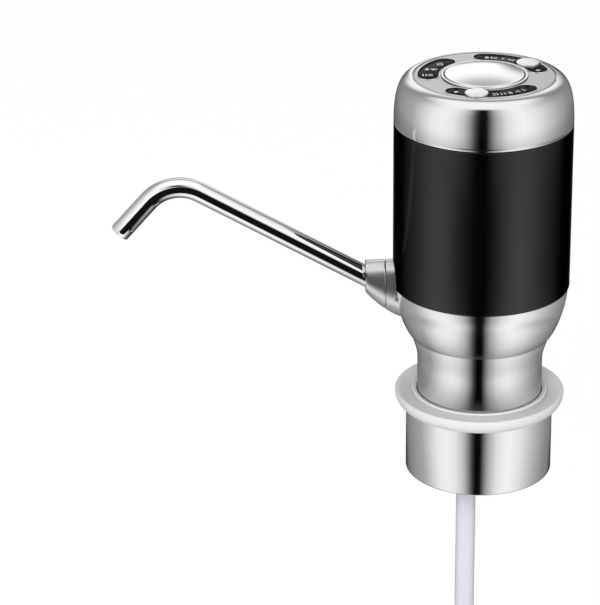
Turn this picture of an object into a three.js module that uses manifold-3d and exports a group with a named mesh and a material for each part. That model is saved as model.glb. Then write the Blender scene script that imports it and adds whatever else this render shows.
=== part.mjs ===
// Bottled water pump: a battery pump that stands on the neck of a large water bottle.
// Millimetres, +Z up, the spout points to -X. The origin is on the axis, in the plane
// where the bottle's mouth meets the collar.

import * as THREE from 'three';
import { mergeVertices } from 'three/addons/utils/BufferGeometryUtils.js';
import Module from 'manifold-3d';

const wasm = await Module();
wasm.setup();

// Gaps, walls and cuts shared by all pieces
const seatGap = 0.3;
const runGap = 0.4;
const cutOverrun = 1;
const mergeDistance = 0.0001;

// Bottle neck, collar, skirt and mouth seal
const bottleNeckRadius = 27.5;
const bottleNeckPlay = 0.5;
const spigotWall = 1.5;
const spigotDepth = 9;
const skirtWall = 1.5;
const skirtDepth = 30;
const skirtEdge = 0.6;
const skirtTopHeight = 0.3;
const webThickness = 4;
const sealDepth = 2;
const sealWidth = 8.5;
const sealLip = 0.5;
const flangeStep = 0.6;
const flangeHeight = 2.9;
const flangeRimRise = 3.1;
const flangeEdge = 0.9;
const flangeTaper = 2.5;
const flangeTurn = 2;
const raisedRingWall = 1.9;
const raisedRingHeight = 3.5;
const raisedRingEdge = 0.4;

// Lower housing: neck, bowl and the spigot inside the sleeve
const neckRadius = 26.6;
const housingWall = 1.9;
const housingFloor = 3;
const flareHeight = 20.9;
const flareUpperPull = 3.5;
const flareUpperSlant = 0.9;
const flareLowerPull = 4.7;
const creaseStep = 2.7;
const creaseHeight = 32.6;
const bowlStep = 0.6;
const bowlRimHeight = 55.4;
const bowlUpperPull = 8.7;
const bowlLowerPull = 1.7;
const bowlLowerSlant = 2.7;
const housingSpigotHeight = 12.5;
const housingPostRadius = 3.2;
const housingPostHeight = 12;
const housingPostCircle = 15.4;

// Sleeve and top cap
const sleeveRadius = 37.3;
const sleeveWall = 0.8;
const sleeveHeight = 71.5;
const sleeveEdge = 0.3;
const capHeight = 20;
const shoulderPull = 17;
const shoulderRimPull = 3.8;
const shoulderRimDrop = 0.6;
const capWall = 1.8;
const capSpigotDepth = 6;
const ledgeThickness = 1.5;
const ledgeWidth = 2.1;
const capBossRadius = 2.8;
const capBossInset = 0.9;
const capBossTurn = 100;

// Control plate, windows and buttons
const shoulderReach = 7.9;
const plateThickness = 1.6;
const bandMargin = 2.2;
const bandWidth = 8;
const rimWidth = 0.55;
const rimHeight = 0.25;
const windowFoot = 1.1;
const windowSink = 0.2;
const smallButtonRadius = 4.8;
const smallButtonShift = 0.4;
const smallButtonCrown = 0.4;
const smallButtonProud = 0.9;
const startButtonMargin = 2.7;
const startButtonCrown = 2.5;
const startButtonProud = 0.9;
const buttonShell = 1.4;
const buttonLip = 0.8;
const buttonLipThickness = 0.9;
const buttonTravel = 0.8;
const bezelWall = 0.6;
const bezelBrim = 0.5;
const bezelBrimHeight = 0.3;

// Circuit board and key switches
const boardInset = 6.3;
const boardThickness = 1.6;
const boardDrop = 6.6;
const switchSide = 6;
const switchHeight = 3.1;
const plungerRadius = 1.7;
const plungerReach = 0.9;
const chipHeight = 1.2;
const chipPlaceShares = [
  [-0.36, -0.11, 0.23, 0.23],
  [-0.27, 0.34, 0.11, 0.23],
  [0.21, -0.43, 0.23, 0.11],
];
const boardNotch = 5;

// Inner frame and battery
const frameDisc = 2.5;
const frameWall = 1.5;
const motorCollarHeight = 13;
const batteryRadius = 9.2;
const batteryLength = 65;
const batterySink = 4.5;
const batteryCupHeight = 26;
const batteryX = -15;
const batteryCapHeight = 1.2;
const framePostRadius = 3;
const framePostTurn = 130;

// Motor and pump
const pumpX = 10;
const motorRadius = 12.1;
const motorHeight = 31;
const motorBoss = 3;
const motorBossHeight = 1.7;
const motorEndHeight = 3;
const motorTabWidth = 1.7;
const motorTabThickness = 0.8;
const motorTabHeight = 3;
const motorTabOffset = 6;
const shaftRadius = 1;
const shaftTail = 2;
const caseRadius = 13.5;
const caseHeight = 14;
const caseWall = 2;
const caseEar = 3.6;
const caseEarReach = 3.5;
const caseEarThickness = 3;
const crankRadius = 5.5;
const crankHeight = 4.5;
const crankPinRadius = 0.9;
const crankPinOffset = 0.9;
const crankPinReach = 5;
const wobblePlay = 2.9;
const wobbleThickness = 2;
const wobbleHubRadius = 3.4;
const diaphragmThickness = 1.4;
const cupRadius = 3.8;
const cupHeight = 2.2;
const cupMargin = 1.1;
const cupWall = 0.9;
const valveThickness = 4;
const valvePortRadius = 1.2;
const coverHeight = 9;
const coverWall = 2;
const coverRingRadius = 5.2;

// Water path inside
const nippleRadius = 2.4;
const nippleBore = 1.5;
const nippleLength = 6;
const barbRise = 0.35;
const innerHoseWall = 1.4;
const inletX = -5;
const inletNeckRadius = 3.6;
const inletFlangeRadius = 6;
const inletFlangeHeight = 2;
const inletReach = 12;

// Spout, its socket and its seal
const spoutRadius = 4.25;
const spoutWall = 0.75;
const spoutSlopeDeg = 29.45;
const spoutFallDeg = 48.3;
const spoutRun = 79.2;
const spoutBendRadius = 17.4;
const spoutDrop = 18.6;
const spoutInsert = 20;
const mouthOverhang = 11.6;
const mouthRise = 3.7;
const mouthRadius = 6.8;
const noseLength = 8.2;
const bossLength = 12.4;
const bossTopRise = 0.8;
const bossChinDrop = 12.7;
const bossChinPower = 1.9;
const bossFlare = 2.2;
const bossNotchGap = 0.6;
const socketBoreRadius = 6.2;
const socketSpigotLength = 1.5;
const sealLength = 3;
const connectorLength = 5.5;
const tubeStop = 1.2;

// Charging port at the back
const portRise = 28.3;
const portWidth = 9;
const portTall = 3.2;
const portDepth = 6.5;
const portShell = 0.5;
const portTongue = 0.7;
const portBezelWall = 1.6;
const portBezelBrim = 0.25;
const portShelf = 3;

// Screws
const screwRadius = 1.1;
const screwHeadRadius = 2.2;
const screwHeadHeight = 1.5;
const screwHeadEdge = 0.5;
const screwLength = 9;
const boardScrewLength = 4.5;

// Leads
const leadRadius = 0.8;
const leadBow = 6;

// Intake hose: its run, the coil that is put away, and its tail
const hoseRadius = 4.25;
const hoseBoreRadius = 3.05;
const coilRadius = 43;
const coilTopHeight = -149.5;
const coilSpacing = 9.5;
const tailLength = 28;
const tieHeight = 4;
const tieWall = 1.3;

// Facets
const largeSides = 32;
const middleSides = 16;
const smallSides = 8;
const tubeSides = 7;
const hoseSides = 5;
const runSides = 6;
const leadSides = 3;
const coilSides = 3;
const curveSteps = 6;
const flareSteps = 3;
const slotSteps = 5;
const coilSteps = 24;
const coilCheckSteps = 8;

const deg = Math.PI / 180;
const group = new THREE.Group();

// Solids from geometry: vertices merged, flat triangles dropped, faces turned out
function solid(geometry) {
  const bare = geometry.index ? geometry.toNonIndexed() : geometry.clone();
  bare.deleteAttribute('normal');
  bare.deleteAttribute('uv');
  const merged = mergeVertices(bare, mergeDistance);
  const corners = merged.index.array;
  const triangles = [];
  for (let i = 0; i < corners.length; i += 3) {
    const [a, b, c] = [corners[i], corners[i + 1], corners[i + 2]];
    if (a !== b && b !== c && c !== a) triangles.push(a, b, c);
  }
  const build = (list) =>
    new wasm.Manifold(
      new wasm.Mesh({
        numProp: 3,
        vertProperties: new Float32Array(merged.attributes.position.array),
        triVerts: new Uint32Array(list),
      }),
    );
  const made = build(triangles);
  return made.volume() < 0 ? build(triangles.reverse()) : made;
}

function geometryOf(shape) {
  const { vertProperties, triVerts, numProp } = shape.getMesh();
  const position = new Float32Array((vertProperties.length / numProp) * 3);
  for (let i = 0; i < position.length / 3; i += 1) {
    for (let k = 0; k < 3; k += 1) position[3 * i + k] = vertProperties[numProp * i + k];
  }
  const geometry = new THREE.BufferGeometry();
  geometry.setAttribute('position', new THREE.BufferAttribute(position, 3));
  geometry.setIndex(new THREE.BufferAttribute(new Uint32Array(triVerts), 1));
  geometry.computeVertexNormals();
  return geometry;
}

const join = (...shapes) => shapes.reduce((sum, shape) => sum.add(shape));
const cut = (shape, ...tools) => tools.reduce((rest, tool) => rest.subtract(tool), shape);

// A profile of [radius, height] pairs turned round +Z; a ring's profile closes on itself
function revolve(profile, sides = largeSides) {
  const points = profile.map(([radius, height]) => new THREE.Vector2(radius, height));
  const open = profile[0][0] === 0 && profile[profile.length - 1][0] === 0;
  if (!open) points.push(points[0].clone());
  const geometry = new THREE.LatheGeometry(points, sides);
  geometry.rotateX(90 * deg);
  return solid(geometry);
}

function ring(inner, outer, low, high, sides = largeSides) {
  return revolve([[inner, low], [outer, low], [outer, high], [inner, high]], sides);
}

function disc(radius, low, high, sides = largeSides) {
  return revolve([[0, low], [radius, low], [radius, high], [0, high]], sides);
}

function block(sizeX, sizeY, low, high) {
  const geometry = new THREE.BoxGeometry(sizeX, sizeY, high - low);
  geometry.translate(0, 0, (low + high) / 2);
  return solid(geometry);
}

// A cutter that passes the overrun beyond both faces
function through(radius, low, high, sides = smallSides) {
  return disc(radius, low - cutOverrun, high + cutOverrun, sides);
}

function slab(shape, depth, curveSegments) {
  return new THREE.ExtrudeGeometry(shape, { depth, curveSegments, bevelEnabled: false });
}

const at = (shape, x, y, z = 0) => shape.translate([x, y, z]);
const round = (radius, degrees) => [radius * Math.cos(degrees * deg), radius * Math.sin(degrees * deg)];

// A route of points and tangents that an extrusion follows section by section
class Route extends THREE.Curve {
  constructor() {
    super();
    this.points = [];
    this.tangents = [];
  }

  add(point, tangent) {
    this.points.push(point);
    this.tangents.push(tangent.clone().normalize());
    return this;
  }

  along(curve, steps, skipFirst = true) {
    for (let i = skipFirst ? 1 : 0; i <= steps; i += 1) {
      this.add(curve.getPoint(i / steps), curve.getTangent(i / steps));
    }
    return this;
  }

  get steps() {
    return this.points.length - 1;
  }

  getPointAt(share) {
    return this.points[Math.round(share * this.steps)].clone();
  }

  getTangentAt(share) {
    return this.tangents[Math.round(share * this.steps)].clone();
  }
}

function tube(route, outer, inner = 0, sides = smallSides) {
  const shape = new THREE.Shape().absarc(0, 0, outer, 0, 2 * Math.PI);
  if (inner > 0) shape.holes.push(new THREE.Path().absarc(0, 0, inner, 0, 2 * Math.PI, true));
  const settings = { steps: route.steps, extrudePath: route, curveSegments: sides, bevelEnabled: false };
  return solid(new THREE.ExtrudeGeometry(shape, settings));
}

// A line, a smooth curve and a line, from one end to the other
function linkRoute(from, fromDirection, to, toDirection, straight, pull, steps = curveSteps) {
  const first = from.clone().addScaledVector(fromDirection, straight);
  const last = to.clone().addScaledVector(toDirection, -straight);
  const curve = new THREE.CubicBezierCurve3(
    first,
    first.clone().addScaledVector(fromDirection, pull),
    last.clone().addScaledVector(toDirection, -pull),
    last,
  );
  return new Route().add(from, fromDirection).along(curve, steps, false).add(to, toDirection);
}

// A barbed nipple from low to high, its two barbs pointing to high
function nipple(low, high, radius = nippleRadius) {
  const barb = (high - low) / 3;
  return revolve(
    [
      [0, low],
      [radius, low],
      [radius, high - 2 * barb],
      [radius + barbRise, high - 2 * barb],
      [radius, high - barb],
      [radius + barbRise, high - barb],
      [radius, high],
      [0, high],
    ],
    smallSides,
  );
}

const up = new THREE.Vector3(0, 0, 1);
const down = new THREE.Vector3(0, 0, -1);

// Places worked out from the sizes above
const sealInnerRadius = bottleNeckRadius - sealWidth;
const spigotInner = bottleNeckRadius + bottleNeckPlay;
const spigotOuter = spigotInner + spigotWall;
const skirtInner = spigotOuter + seatGap;
const skirtOuter = skirtInner + skirtWall;
const raisedRingOuter = neckRadius + seatGap + raisedRingWall;
const flangeLow = skirtTopHeight + seatGap;
const flangeTop = flangeLow + flangeHeight;
const raisedRingTop = flangeTop + raisedRingHeight;
const housingLow = webThickness + seatGap;
const floorTop = housingLow + housingFloor;
const creaseRadius = neckRadius + creaseStep;
const bowlRadius = sleeveRadius - bowlStep;
const flangeRadius = bowlRadius - flangeStep;
const sleeveLow = bowlRimHeight + seatGap;
const sleeveTop = sleeveLow + sleeveHeight;
const sleeveInner = sleeveRadius - sleeveWall;
const housingSpigotRadius = sleeveInner - seatGap;
const housingSpigotTop = sleeveLow + housingSpigotHeight;
const capLow = sleeveTop + seatGap;
const plateTop = capLow + capHeight;
const plateLow = plateTop - plateThickness;
const ledgeTop = plateLow - seatGap;
const ledgeLow = ledgeTop - ledgeThickness;
const plateRadius = sleeveRadius - shoulderReach;
const capBossCircle = plateRadius - capBossInset;
const bandInnerRadius = plateRadius - bandMargin - bandWidth;
const smallButtonCircle = bandInnerRadius + bandWidth / 2 + smallButtonShift;
const startButtonRadius = bandInnerRadius - startButtonMargin;
const boardRadius = sleeveRadius - boardInset;
const boardTop = plateLow - boardDrop;
const boardLow = boardTop - boardThickness;
const frameLow = housingSpigotTop + seatGap;
const frameTop = frameLow + frameDisc;
const frameRadius = housingSpigotRadius;
const batteryHold = batteryRadius + seatGap;
const motorHold = motorRadius + seatGap;
const caseEarCircle = caseRadius + caseEarReach;
const cupCircle = caseRadius - caseWall - cupRadius - cupMargin;
const wobbleRadius = caseRadius - caseWall - wobblePlay;
const batteryBottomHeight = frameLow - batterySink;
const batteryTop = batteryBottomHeight + batteryLength;
const mouthReach = sleeveRadius + mouthOverhang;
const mouthHeight = bowlRimHeight + mouthRise;
const portHeight = sleeveLow + portRise;
const caseTop = frameLow - seatGap;
const caseLow = caseTop - caseHeight;
const diaphragmTop = caseLow - seatGap;
const diaphragmLow = diaphragmTop - diaphragmThickness;
const valveTop = diaphragmLow - seatGap;
const valveLow = valveTop - valveThickness;
const coverTop = valveLow - seatGap;
const coverLow = coverTop - coverHeight;
const motorLow = caseTop + seatGap;
const motorTop = motorLow + motorHeight;

// Material looks of the separate pieces
const finish = {
  satinSilver: { color: 0xc4c5c8, roughness: 0.22, metalness: 1 },
  brushedSilver: { color: 0xb6b7ba, roughness: 0.38, metalness: 1 },
  polishedSteel: { color: 0xd9dadc, roughness: 0.08, metalness: 1 },
  buttonSilver: { color: 0xe6e6e8, roughness: 0.25, metalness: 0.6 },
  satinBlack: { color: 0x0b0b0c, roughness: 0.32, metalness: 0 },
  glossBlack: { color: 0x08090b, roughness: 0.08, metalness: 0 },
  paleCollar: { color: 0xe3e3e4, roughness: 0.4, metalness: 0 },
  clearHose: { color: 0xdfe6ea, roughness: 0.25, metalness: 0 },
  whiteRubber: { color: 0xeeeeea, roughness: 0.55, metalness: 0 },
  greyPlastic: { color: 0x3a3c3f, roughness: 0.5, metalness: 0 },
  whitePlastic: { color: 0xe9e7e0, roughness: 0.45, metalness: 0 },
  steel: { color: 0xa8a9ab, roughness: 0.3, metalness: 1 },
  boardGreen: { color: 0x11492f, roughness: 0.45, metalness: 0 },
  cellBlue: { color: 0x1d5fa8, roughness: 0.4, metalness: 0 },
  brass: { color: 0xb99652, roughness: 0.3, metalness: 1 },
  redLead: { color: 0xb22a22, roughness: 0.5, metalness: 0 },
};

function place(name, shape, look) {
  const mesh = new THREE.Mesh(geometryOf(shape), new THREE.MeshStandardMaterial(finish[look]));
  mesh.name = name;
  group.add(mesh);
  return mesh;
}

// The outline of the neck's flare up to the crease and of the bowl up to its rim
const flareCurve = new THREE.CubicBezierCurve(
  new THREE.Vector2(neckRadius, flareHeight),
  new THREE.Vector2(neckRadius, flareHeight + flareLowerPull),
  new THREE.Vector2(creaseRadius - flareUpperSlant, creaseHeight - flareUpperPull),
  new THREE.Vector2(creaseRadius, creaseHeight),
);
const bowlCurve = new THREE.CubicBezierCurve(
  new THREE.Vector2(creaseRadius, creaseHeight),
  new THREE.Vector2(creaseRadius + bowlLowerSlant, creaseHeight + bowlLowerPull),
  new THREE.Vector2(bowlRadius, bowlRimHeight - bowlUpperPull),
  new THREE.Vector2(bowlRadius, bowlRimHeight),
);
function bowlOutline(inset, flareSteps, bowlSteps) {
  const points = [...flareCurve.getPoints(flareSteps), ...bowlCurve.getPoints(bowlSteps).slice(1)];
  return points.map((point) => [point.x - inset, point.y]);
}

// The spout's axis, from the middle of the socket's mouth inwards
const spoutInward = new THREE.Vector3(Math.cos(spoutSlopeDeg * deg), 0, -Math.sin(spoutSlopeDeg * deg));
const spoutOutward = spoutInward.clone().negate();
const spoutMouth = new THREE.Vector3(-mouthReach, 0, mouthHeight);
const onSpoutAxis = (depth) => spoutMouth.clone().addScaledVector(spoutInward, depth);

// A solid made along +Z from the mouth is laid along the spout's axis
function alongSpout(shape) {
  return shape.rotate([0, 90 + spoutSlopeDeg, 0]).translate([-mouthReach, 0, mouthHeight]);
}

// The boss swells from the round mouth to a tall oval with a chin under it
const bossRoot = noseLength + bossLength;
function bossSection(distance, grow) {
  const share = distance / bossRoot;
  const top = mouthHeight + mouthRadius + bossTopRise * share + grow;
  const chinShare = 1 - (1 - share) ** bossChinPower;
  const low = mouthHeight - mouthRadius - bossChinDrop * chinShare - grow;
  const half = mouthRadius + bossFlare * share + grow;
  return { x: distance - mouthReach, middle: (top + low) / 2, tall: (top - low) / 2, half };
}

function bossLoft(from, to, grow = 0, steps = 4, sides = middleSides) {
  const vertices = [];
  const triangles = [];
  for (let i = 0; i <= steps; i += 1) {
    const section = bossSection(from + ((to - from) * i) / steps, grow);
    for (let k = 0; k < sides; k += 1) {
      const angle = (2 * Math.PI * k) / sides;
      const height = section.middle + section.tall * Math.sin(angle);
      vertices.push(section.x, section.half * Math.cos(angle), height);
    }
  }
  for (let i = 0; i < steps; i += 1) {
    for (let k = 0; k < sides; k += 1) {
      const [a, b] = [i * sides + k, i * sides + ((k + 1) % sides)];
      triangles.push(a, b, b + sides, a, b + sides, a + sides);
    }
  }
  const lastRing = steps * sides;
  for (let k = 1; k < sides - 1; k += 1) {
    triangles.push(0, k + 1, k, lastRing, lastRing + k, lastRing + k + 1);
  }
  const geometry = new THREE.BufferGeometry();
  geometry.setAttribute('position', new THREE.Float32BufferAttribute(vertices, 3));
  geometry.setIndex(triangles);
  return solid(geometry);
}

// Screws stand with the head down and the shank up from a face
function screw(length) {
  return revolve(
    [
      [0, -screwHeadHeight],
      [screwHeadRadius - screwHeadEdge, -screwHeadHeight],
      [screwHeadRadius, -screwHeadHeight / 2],
      [screwHeadRadius, 0],
      [screwRadius, 0],
      [screwRadius, length - screwRadius],
      [0, length],
    ],
    smallSides,
  );
}

const threeTurns = [0, 120, 240];
const earTurns = [90, 270];
const bossTurns = threeTurns.map((turn) => turn + capBossTurn);
const framePostTurns = threeTurns.map((turn) => turn + framePostTurn);
const neckPostTurns = threeTurns.map((turn) => turn + framePostTurn - 90);
const screwHole = screwRadius + seatGap;
const screwHeadHole = screwHeadRadius + seatGap;

// The flange's outline from its lower edge out and up to the round top of its rim
function flangeOutline(sideSteps, edgeSteps) {
  const middle = new THREE.Vector2(flangeRadius - flangeEdge, flangeTop + flangeRimRise - flangeEdge);
  const side = new THREE.QuadraticBezierCurve(
    new THREE.Vector2(flangeRadius - flangeTaper, flangeLow),
    new THREE.Vector2(flangeRadius, flangeLow + flangeTurn),
    new THREE.Vector2(flangeRadius, middle.y),
  );
  const edge = new THREE.EllipseCurve(middle.x, middle.y, flangeEdge, flangeEdge, 0, 90 * deg);
  return [...side.getPoints(sideSteps), ...edge.getPoints(edgeSteps).slice(1)].map(({ x, y }) => [x, y]);
}

// Seat collar: web over the bottle's mouth, spigot round its neck, flange and raised ring
function makeCollar() {
  const body = revolve([
    [0, 0],
    [sealInnerRadius - seatGap, 0],
    [sealInnerRadius - seatGap, sealDepth],
    [spigotInner, sealDepth],
    [spigotInner, -spigotDepth],
    [spigotOuter, -spigotDepth],
    [spigotOuter, flangeLow],
    ...flangeOutline(3, 2),
    [raisedRingOuter, flangeTop],
    [raisedRingOuter, raisedRingTop - raisedRingEdge],
    [raisedRingOuter - raisedRingEdge, raisedRingTop],
    [neckRadius + seatGap, raisedRingTop],
    [neckRadius + seatGap, webThickness],
    [0, webThickness],
  ]);
  const tools = [at(through(inletNeckRadius + seatGap, 0, webThickness, middleSides), inletX, 0)];
  for (const turn of neckPostTurns) {
    const [x, y] = round(housingPostCircle, turn);
    tools.push(at(through(screwHole, 0, webThickness), x, y));
    tools.push(at(disc(screwHeadHole, -cutOverrun, screwHeadHeight + seatGap, smallSides), x, y));
  }
  return cut(body, ...tools);
}

function makeMouthSeal() {
  const low = sealLip;
  const high = sealDepth - seatGap;
  const outer = spigotInner - seatGap;
  return revolve(
    [
      [sealInnerRadius, low],
      [sealInnerRadius + sealLip, 0],
      [outer - sealLip, 0],
      [outer, low],
      [outer, high],
      [sealInnerRadius, high],
    ],
    largeSides,
  );
}

function makeSkirt() {
  return revolve([
    [skirtInner, skirtEdge - skirtDepth],
    [skirtInner + skirtEdge, -skirtDepth],
    [skirtOuter - skirtEdge, -skirtDepth],
    [skirtOuter, skirtEdge - skirtDepth],
    [skirtOuter, skirtTopHeight],
    [skirtInner, skirtTopHeight],
  ]);
}

// Lower housing: one shell with the neck, the bowl, the spout's boss and the screw posts
function makeLowerHousing() {
  const outline = bowlOutline(0, flareSteps, curveSteps);
  const inline = bowlOutline(housingWall, flareSteps - 1, curveSteps - 2).reverse();
  const spigotBore = housingSpigotRadius - housingWall;
  const outside = revolve([
    [0, housingLow],
    [neckRadius, housingLow],
    ...outline,
    [housingSpigotRadius, bowlRimHeight],
    [housingSpigotRadius, housingSpigotTop],
    [0, housingSpigotTop],
  ]);
  const inside = revolve([
    [0, housingSpigotTop + cutOverrun],
    [spigotBore, housingSpigotTop + cutOverrun],
    [spigotBore, bowlRimHeight],
    ...inline,
    [neckRadius - housingWall, floorTop],
    [0, floorTop],
  ]);
  const seat = alongSpout(disc(seatRadius, seamDepth(seatRadius), seatEnd, middleSides));
  const bore = alongSpout(disc(socketBoreRadius, 0, connectorEnd + seatGap, middleSides));
  const shell = cut(join(outside, bossLoft(noseLength + seatGap, bossRoot)), inside);
  const inletHole = through(inletNeckRadius + seatGap, housingLow, floorTop, middleSides);
  const tools = [bore, at(inletHole, inletX, 0)];
  const posts = [];
  for (const turn of neckPostTurns) {
    const [x, y] = round(housingPostCircle, turn);
    posts.push(at(disc(housingPostRadius, housingLow, floorTop + housingPostHeight, smallSides), x, y));
    tools.push(at(disc(screwHole, 0, floorTop + housingPostHeight - housingWall, smallSides), x, y));
  }
  return cut(join(shell, seat, ...posts), ...tools);
}

// Depths along the spout's axis, which leaves the upright seam at a slant
const seamDepth = (radius) =>
  (noseLength + seatGap + radius * Math.sin(spoutSlopeDeg * deg)) / Math.cos(spoutSlopeDeg * deg);
const seatRadius = socketBoreRadius + housingWall;
const spigotSeatEnd = seamDepth(socketBoreRadius) + socketSpigotLength;
const sealStart = spigotSeatEnd + seatGap;
const sealEnd = sealStart + sealLength;
const connectorStart = sealEnd + seatGap;
const connectorEnd = connectorStart + connectorLength;
const seatEnd = connectorEnd - tubeStop;
const tubeBoreRadius = spoutRadius + seatGap;
const socketPlugRadius = socketBoreRadius - seatGap;

function makeSpoutSocket() {
  const nose = bossLoft(0, noseLength, 0, 3);
  const spigot = alongSpout(disc(socketPlugRadius, noseLength / 2, spigotSeatEnd, middleSides));
  const bore = alongSpout(disc(tubeBoreRadius, -noseLength, spigotSeatEnd + cutOverrun, middleSides));
  return cut(join(nose, spigot), bore);
}

function makeSpoutSeal() {
  return alongSpout(ring(tubeBoreRadius, socketPlugRadius, sealStart, sealEnd, middleSides));
}

function makeSpoutConnector() {
  const body = disc(socketPlugRadius, connectorStart, connectorEnd, middleSides);
  const tail = nipple(connectorEnd - tubeStop, connectorEnd + nippleLength);
  const stop = spoutInsert + seatGap;
  const pocket = disc(tubeBoreRadius, connectorStart - cutOverrun, stop, middleSides);
  const bore = disc(nippleBore, stop - cutOverrun, connectorEnd + nippleLength + cutOverrun, smallSides);
  return alongSpout(cut(join(body, tail), pocket, bore));
}

// Spout tube: from inside the socket up the straight run, round the bend and down
function makeSpoutTube() {
  const bend = (spoutSlopeDeg + spoutFallDeg) * deg;
  const start = onSpoutAxis(spoutInsert);
  const bendStart = onSpoutAxis(-spoutRun);
  const sideways = new THREE.Vector3(0, 1, 0);
  const inwards = spoutOutward.clone().applyAxisAngle(sideways, -90 * deg);
  const centre = bendStart.clone().addScaledVector(inwards, spoutBendRadius);
  const route = new Route().add(start, spoutOutward);
  for (let i = 0; i <= curveSteps; i += 1) {
    const angle = (-bend * i) / curveSteps;
    const arm = inwards.clone().multiplyScalar(-spoutBendRadius).applyAxisAngle(sideways, angle);
    route.add(centre.clone().add(arm), spoutOutward.clone().applyAxisAngle(sideways, angle));
  }
  const last = route.tangents[route.steps];
  route.add(route.points[route.steps].clone().addScaledVector(last, spoutDrop), last);
  return tube(route, spoutRadius, spoutRadius - spoutWall, tubeSides);
}

// Sleeve: thin tube, notched round the boss, with a window for the charging port
function makeSleeve() {
  const body = revolve([
    [sleeveInner, sleeveLow],
    [sleeveRadius - sleeveEdge, sleeveLow],
    [sleeveRadius, sleeveLow + sleeveEdge],
    [sleeveRadius, sleeveTop - sleeveEdge],
    [sleeveRadius - sleeveEdge, sleeveTop],
    [sleeveInner, sleeveTop],
  ]);
  const notch = bossLoft(0, bossRoot, bossNotchGap);
  const slot = portSlab(portBezelWall + seatGap, sleeveInner - portDepth, sleeveRadius + cutOverrun);
  return cut(body, notch, slot);
}

// A slab with round ends that lies across the back, grown by a wall's thickness
function portSlab(grow, from, to) {
  const half = portTall / 2 + grow;
  const reach = portWidth / 2 - portTall / 2;
  const shape = new THREE.Shape();
  shape.absarc(reach, 0, half, -Math.PI / 2, Math.PI / 2);
  shape.absarc(-reach, 0, half, Math.PI / 2, (3 * Math.PI) / 2);
  const geometry = slab(shape, to - from, slotSteps);
  geometry.rotateX(90 * deg);
  geometry.translate(0, to, portHeight);
  return solid(geometry);
}

// Top cap: curved shoulder, ledge for the control plate, spigot and three bosses
const plateSeat = plateRadius + seatGap;
function shoulderOutline(inset, steps) {
  const low = capLow + sleeveEdge;
  const curve = new THREE.CubicBezierCurve(
    new THREE.Vector2(sleeveRadius - inset, low),
    new THREE.Vector2(sleeveRadius - inset, low + shoulderPull),
    new THREE.Vector2(plateSeat + shoulderRimPull - inset, plateTop - shoulderRimDrop - inset),
    new THREE.Vector2(plateSeat - inset, plateTop - inset),
  );
  return curve.getPoints(steps).map((point) => [point.x, point.y]);
}

function makeTopCap() {
  const spigotRadius = sleeveInner - seatGap;
  const outside = shoulderOutline(0, curveSteps + 1);
  const inside = shoulderOutline(capWall, curveSteps).filter(([, height]) => height < ledgeLow).reverse();
  const ledgeInner = plateSeat - ledgeWidth;
  const body = revolve([
    [spigotRadius - capWall, capLow - capSpigotDepth],
    [spigotRadius, capLow - capSpigotDepth],
    [spigotRadius, capLow],
    [sleeveRadius - sleeveEdge, capLow],
    ...outside,
    [plateSeat, ledgeTop],
    [ledgeInner, ledgeTop],
    [ledgeInner, ledgeLow],
    ...inside,
  ]);
  const boss = disc(capBossRadius, boardTop + seatGap, ledgeLow + ledgeThickness / 2, smallSides);
  const hole = disc(screwHole, boardTop - cutOverrun, boardTop + boardScrewLength, smallSides);
  const bosses = bossTurns.map((turn) => at(boss, ...round(capBossCircle, turn)));
  const holes = bossTurns.map((turn) => at(hole, ...round(capBossCircle, turn)));
  const envelope = revolve([
    [0, capLow - capSpigotDepth],
    [sleeveRadius, capLow - capSpigotDepth],
    ...outside,
    [0, plateTop - plateThickness],
  ]);
  return cut(join(body, ...bosses.map((solidBoss) => solidBoss.intersect(envelope))), ...holes);
}

// A curved band with round ends, as a slab
const windows = [
  { name: 'left_window', from: 120.5, to: 190 },
  { name: 'rear_window', from: 6, to: 96, button: 36 },
  { name: 'front_window', from: 225.5, to: 322.5, button: 257.5 },
];

function windowSlab(spec, grow, low, high) {
  const middle = bandInnerRadius + bandWidth / 2;
  const half = bandWidth / 2 + grow;
  const endTurn = (bandWidth / 2 / middle) * (180 / Math.PI);
  const [first, last] = [(spec.from + endTurn) * deg, (spec.to - endTurn) * deg];
  const [firstX, firstY] = [middle * Math.cos(first), middle * Math.sin(first)];
  const [lastX, lastY] = [middle * Math.cos(last), middle * Math.sin(last)];
  const shape = new THREE.Shape();
  shape.absarc(0, 0, middle + half, first, last, false);
  shape.absarc(lastX, lastY, half, last, last + Math.PI, false);
  shape.absarc(0, 0, middle - half, last, first, true);
  shape.absarc(firstX, firstY, half, first + Math.PI, first + 2 * Math.PI, false);
  const geometry = slab(shape, high - low, slotSteps);
  geometry.translate(0, 0, low);
  return solid(geometry);
}

// The opening for a window, with the round well of its button where it has one
function windowOpening(spec, grow, low, high) {
  const slab = windowSlab(spec, seatGap + grow, low, high);
  if (spec.button === undefined) return slab;
  const well = disc(smallButtonRadius + runGap + grow, low, high, middleSides);
  return slab.add(at(well, ...round(smallButtonCircle, spec.button)));
}

const bezelInner = startButtonRadius + runGap;
const bezelOuter = bezelInner + bezelWall;

function makeControlPlate() {
  const plate = disc(plateRadius, plateLow, plateTop);
  const rims = windows.map((spec) => windowOpening(spec, rimWidth, plateLow, plateTop + rimHeight));
  const holes = windows.map((spec) => windowOpening(spec, 0, plateLow - cutOverrun, plateTop + cutOverrun));
  const envelope = ring(bezelOuter + bezelBrim + seatGap, plateRadius, plateLow, plateTop + cutOverrun);
  const raised = rims.map((rim) => rim.intersect(envelope));
  const middle = disc(bezelOuter + seatGap, plateLow - cutOverrun, plateTop + cutOverrun);
  return cut(join(plate, ...raised), ...holes, middle);
}

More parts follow.
